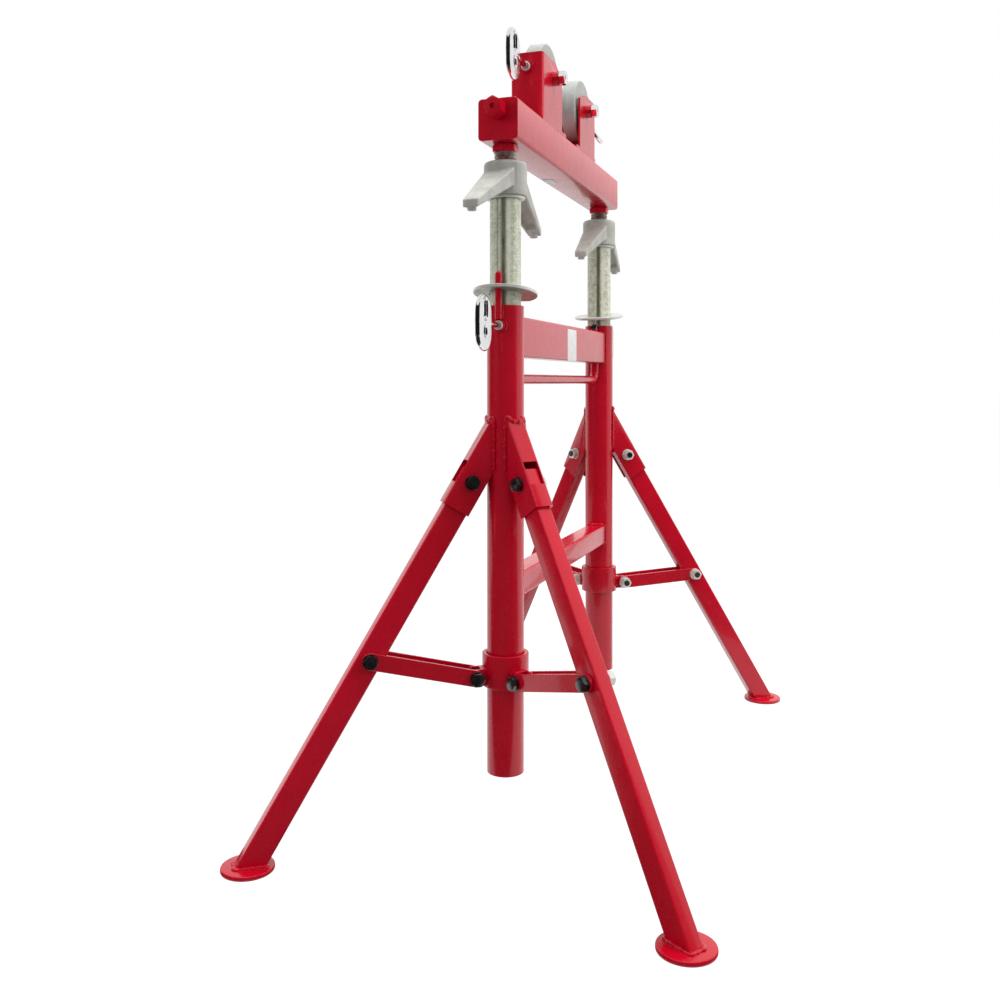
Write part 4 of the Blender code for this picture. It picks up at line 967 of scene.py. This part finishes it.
def pull_halves(centre):
    """Each half lies between its slot and the oval, which is cut level just past the bridge."""
    oval, angles = rounded(PULL_WIDTH, PULL_HEIGHT, 0.0268, 16), once_round(143)
    halves = []
    for sign, width, tall in SLOTS:
        middle = (0, sign * (BRIDGE + tall) / 2)
        half = np.column_stack([oval[:, 0], sign * np.maximum(sign * oval[:, 1], -0.001)])
        slot = rounded(width, tall, width * 0.45) + middle
        grid = flat_ring(angles, reach(slot, middle, angles), reach(half, middle, angles),
                             0.004, 0.0022, centre @ UPRIGHT @ moved(*middle, 0))
        halves.append((grid, True, CHROME))
    return halves


for name, seat, nose, place in PINS:
    skins = pull_halves(place @ moved(seat + STANDOFF + PULL_WIDTH / 2, 0, 0))
    skins.append(spun(0, 0.0045, nose, seat + STANDOFF + 0.008, 0.0008, CHROME, place @ ALONG_X))
    cast(joined(name + "_pull", skins), name + "_pull_casting", name + "_pull_pin", CHROME,
         0.0008, 6)

# %% [markdown]
# ## Lift screws
# The wing nuts raise coarse screws, each with a hexagon under the beam.

# %% Lift screws
WING_BASE, COUPLING_BASE = 0.9853, 1.0535
for side, here in POST.items():
    skins = [threaded(0.0175, WING_BASE - 0.112, COUPLING_BASE + 0.001, 0.005, 0.0018, SCREW,
                      here, 48),
             hexagon(0.036, COUPLING_BASE, COUPLING_BASE + 0.0122, RED, here, both=True)]
    piece(side + "_lift_screw_thread", "head", skins, side + "_lift_screw", sharp=50)
print("lift screws: 2")

# %% [markdown]
# ## Beam
# The beam is a square box with closed ends, slotted on top for the carriages. The CAD copy has
# its slots and screw holes, and the bevel rounds its folded corners.

# %% Beam
softened("beam", "beam_painted", "head", RED, 0.0012)
sticker("beam_blank_label", "head", 0.040, 0.019, moved(0, 0.0177, 1.0658) @ FLIPPED)

# %% Adjusting screw
SCREW_HEIGHT, BEAM_HALF = 1.1115, 0.337
here = moved(0, 0, SCREW_HEIGHT) @ ALONG_X
skins = [threaded(0.010, -BEAM_HALF - 0.001, BEAM_HALF, 0.004, 0.0012, SCREW, here, 32),
         hexagon(0.0277, BEAM_HALF + 0.0003, BEAM_HALF + 0.0253, RED, here @ FLIPPED,
                 dimple=(0.004, 0.004))]
piece("adjusting_screw_drive", "adjusting_screw", skins, "adjusting_screw", sharp=40)
print("beam and adjusting screw done")

# %% [markdown]
# ## Carriages
# Each roller sits in a cradle of folded plate, open on the inner side. The CAD copy keeps its
# folds, its sloping top and its bosses, and the bevel softens every cut edge.

# %% Carriages
for side, here in CARRIAGE_PIN.items():
    softened(side + "_carriage", side + "_carriage_plate", side + "_carriage", RED)
    outer = here @ moved(CARRIAGE_OUTER, 0, 0) @ ALONG_X
    y, z = circle(SEAM_RADIUS, 40).T
    seam = placed(np.stack([0 * y + CARRIAGE_OUTER + 0.0004, y, z], 1), here)
    ease = [0.0002, 0.0004, 0.0026, 0.0002]
    skins = [spun(0.0048, 0.0076, 0.003, 0.0079, ease, ZINC, outer, bends=6),
             weld(seam, here[:3, 0], 0.0018, True)]
    piece(side + "_carriage_pin_bush", side + "_carriage", skins)
print("carriages: 2")

# %% [markdown]
# ## Rollers and axles
# A roller is a plain wheel with a chamfered rim and a hub that reaches both plates. The axle is
# a bolt, with a nut and a rounded end on the right and a head on the left.

# %% Rollers and axles
AXLE_RISE, AXLE_RADIUS, AXLE_FLATS, AXLE_SEAT = 0.0832, 0.008, 0.022, 0.0283
RIM, HUB_HALF, TYRE_LOW, TYRE_HIGH = 0.059, 0.0242, -0.0195, 0.0075


def face(level, sign):
    """One side of a roller from the bore out, as reach and height."""
    return [(0.0084, sign * HUB_HALF), (0.016, sign * HUB_HALF), (0.0165, level - sign * 0.0008),
            (0.030, level), (RIM - 0.002, level), (RIM, level - sign * 0.002)]


tyre = eased(face(TYRE_LOW, -1) + face(TYRE_HIGH, 1)[::-1], 0.0006, True)
for side in SIDES:
    here = moved(AXLE_X[side], 0, CARRIAGE_SEAT + AXLE_RISE) @ ALONG_Y
    piece(side + "_roller", side + "_wheel", [(turned(tyre, here, 128), True, ROLLER)],
          side + "_wheel", 30)
    back, tip = here @ FLIPPED, AXLE_SEAT + 0.0195
    dome = bow((0, tip), AXLE_RADIUS, 0, pi / 2, 8) * (1, 0.5) + (0, tip / 2)
    shaft = [(0, -AXLE_SEAT - 0.001), (AXLE_RADIUS, -AXLE_SEAT - 0.001), (AXLE_RADIUS, tip)]
    skins = [(turned(np.vstack([shaft, dome]), back, 48), False, CHROME),
             hexagon(AXLE_FLATS, AXLE_SEAT + 0.010, AXLE_SEAT + 0.021, CHROME, back, both=True),
             hexagon(AXLE_FLATS, AXLE_SEAT, AXLE_SEAT + 0.009, CHROME, here)]
    piece(side + "_axle_bolt", side + "_carriage", skins, side + "_axle")
print("rollers and axles: 2")

# %% [markdown]
# ## Light, floor and background
# The photograph is lit by large soft panels: one above, a softer one to the right and a faint
# one to the left. The ground is plain white. The world and the floor show as white to the
# camera and in the metal, through the Light Path node, while the steel itself is lit at a
# plain level.

# %% World and floor
def seen(tree):
    """1 for rays from the camera, a reflection or a clear surface, and 0 for light that falls."""
    rays = node(tree, "LightPath").outputs
    either = worked(tree, "MAXIMUM", rays["Is Camera Ray"], rays["Is Glossy Ray"])
    return worked(tree, "MAXIMUM", either, rays["Is Transmission Ray"])


WORLD_LIGHT, FLOOR_LIGHT, FLOOR_SEEN, FLOOR_GLOW = 0.37, 0.36, 0.16, 0.94
world = bpy.data.worlds.new("studio")
bpy.context.scene.world = world
world.use_nodes = True
tree = world.node_tree
background = tree.nodes["Background"]
background.inputs["Color"].default_value = (1, 1, 1, 1)
tree.links.new(ranged(tree, seen(tree), WORLD_LIGHT, 1.0, 0, 1), background.inputs["Strength"])

white = bpy.data.materials.new("white_floor")
white.use_nodes = True
tree = white.node_tree
tree.nodes.remove(tree.nodes["Principled BSDF"])
lit, faint = (node(tree, "BsdfDiffuse", Color=(grey, grey, grey, 1)).outputs[0]
              for grey in (FLOOR_LIGHT, FLOOR_SEEN))
glow = node(tree, "Emission", Strength=FLOOR_GLOW).outputs[0]
plain = node(tree, "AddShader", faint, glow).outputs[0]
choice = node(tree, "MixShader", seen(tree), lit, plain)
tree.links.new(choice.outputs[0], tree.nodes["Material Output"].inputs["Surface"])


def flat_stage(name, corners, paint):
    """One flat face that isn't part of the stand."""
    mesh = bpy.data.meshes.new(name)
    mesh.from_pydata(corners, [], [tuple(range(len(corners)))])
    mesh.materials.append(paint)
    made = shown(name, mesh)
    return made


FAR = 60.0
flat_stage("floor", [(-FAR, -FAR, 0), (FAR, -FAR, 0), (FAR, FAR, 0), (-FAR, FAR, 0)], white)


# %% Lamps
def lamp(name, place, aim, size, power):
    """A square soft panel that looks from its place to a point."""
    data = bpy.data.lights.new(name, "AREA")
    data.energy, data.size, data.shape = power, size, "SQUARE"
    made = shown(name, data)
    made.location = place
    x, y, z = np.array(aim, float) - np.array(place, float)
    made.rotation_euler = (atan2(hypot(x, y), -z), 0, atan2(-x, y))
    made.visible_camera = made.visible_glossy = False


lamp("right_panel", (0.1, -3.4, 2.2), (0, 0, 0.7), 2.4, 60)
lamp("top_panel", (0.2, -0.3, 3.8), (0, 0, 0.6), 2.4, 122)
lamp("left_panel", (-2.6, 2.2, 1.6), (0, 0, 0.7), 1.6, 26)

# %% [markdown]
# ## Black boards
# Polished metal mirrors the whole studio, and in the photograph it shows black bands. Black
# boards stand round the camera's side, from the right front to the left, and one lies on the
# floor before them. The camera doesn't see them and they cast no shadow.

# %% Black boards
BOARD, tree = new_finish("board_black", 1.0, 0.0, Base_Color=(0.01, 0.01, 0.01, 1))
BOARD_TOP, FLOOR_BOARD = 4.5, 0.002
ROUND = [(-0.1, -3.6), (-1.4, -3.4), (-3.4, -2.6), (-4.2, 0.0), (-3.4, 3.2), (0.2, 4.2)]
BEFORE = [(-4.2, -2.6), (0.0, -3.3), (0.0, -1.0), (-0.45, -0.7), (-0.45, 1.8), (-4.2, 3.2)]
boards = [[(*corner, FLOOR_BOARD) for corner in BEFORE]]
boards += [[(*first, 0), (*last, 0), (*last, BOARD_TOP), (*first, BOARD_TOP)]
           for first, last in zip(ROUND, ROUND[1:])]
for index, corners in enumerate(boards):
    board = flat_stage("dark_board_" + str(index), corners, BOARD)
    board.visible_camera = board.visible_diffuse = board.visible_shadow = False
print("lamps: 3, black boards:", len(boards))
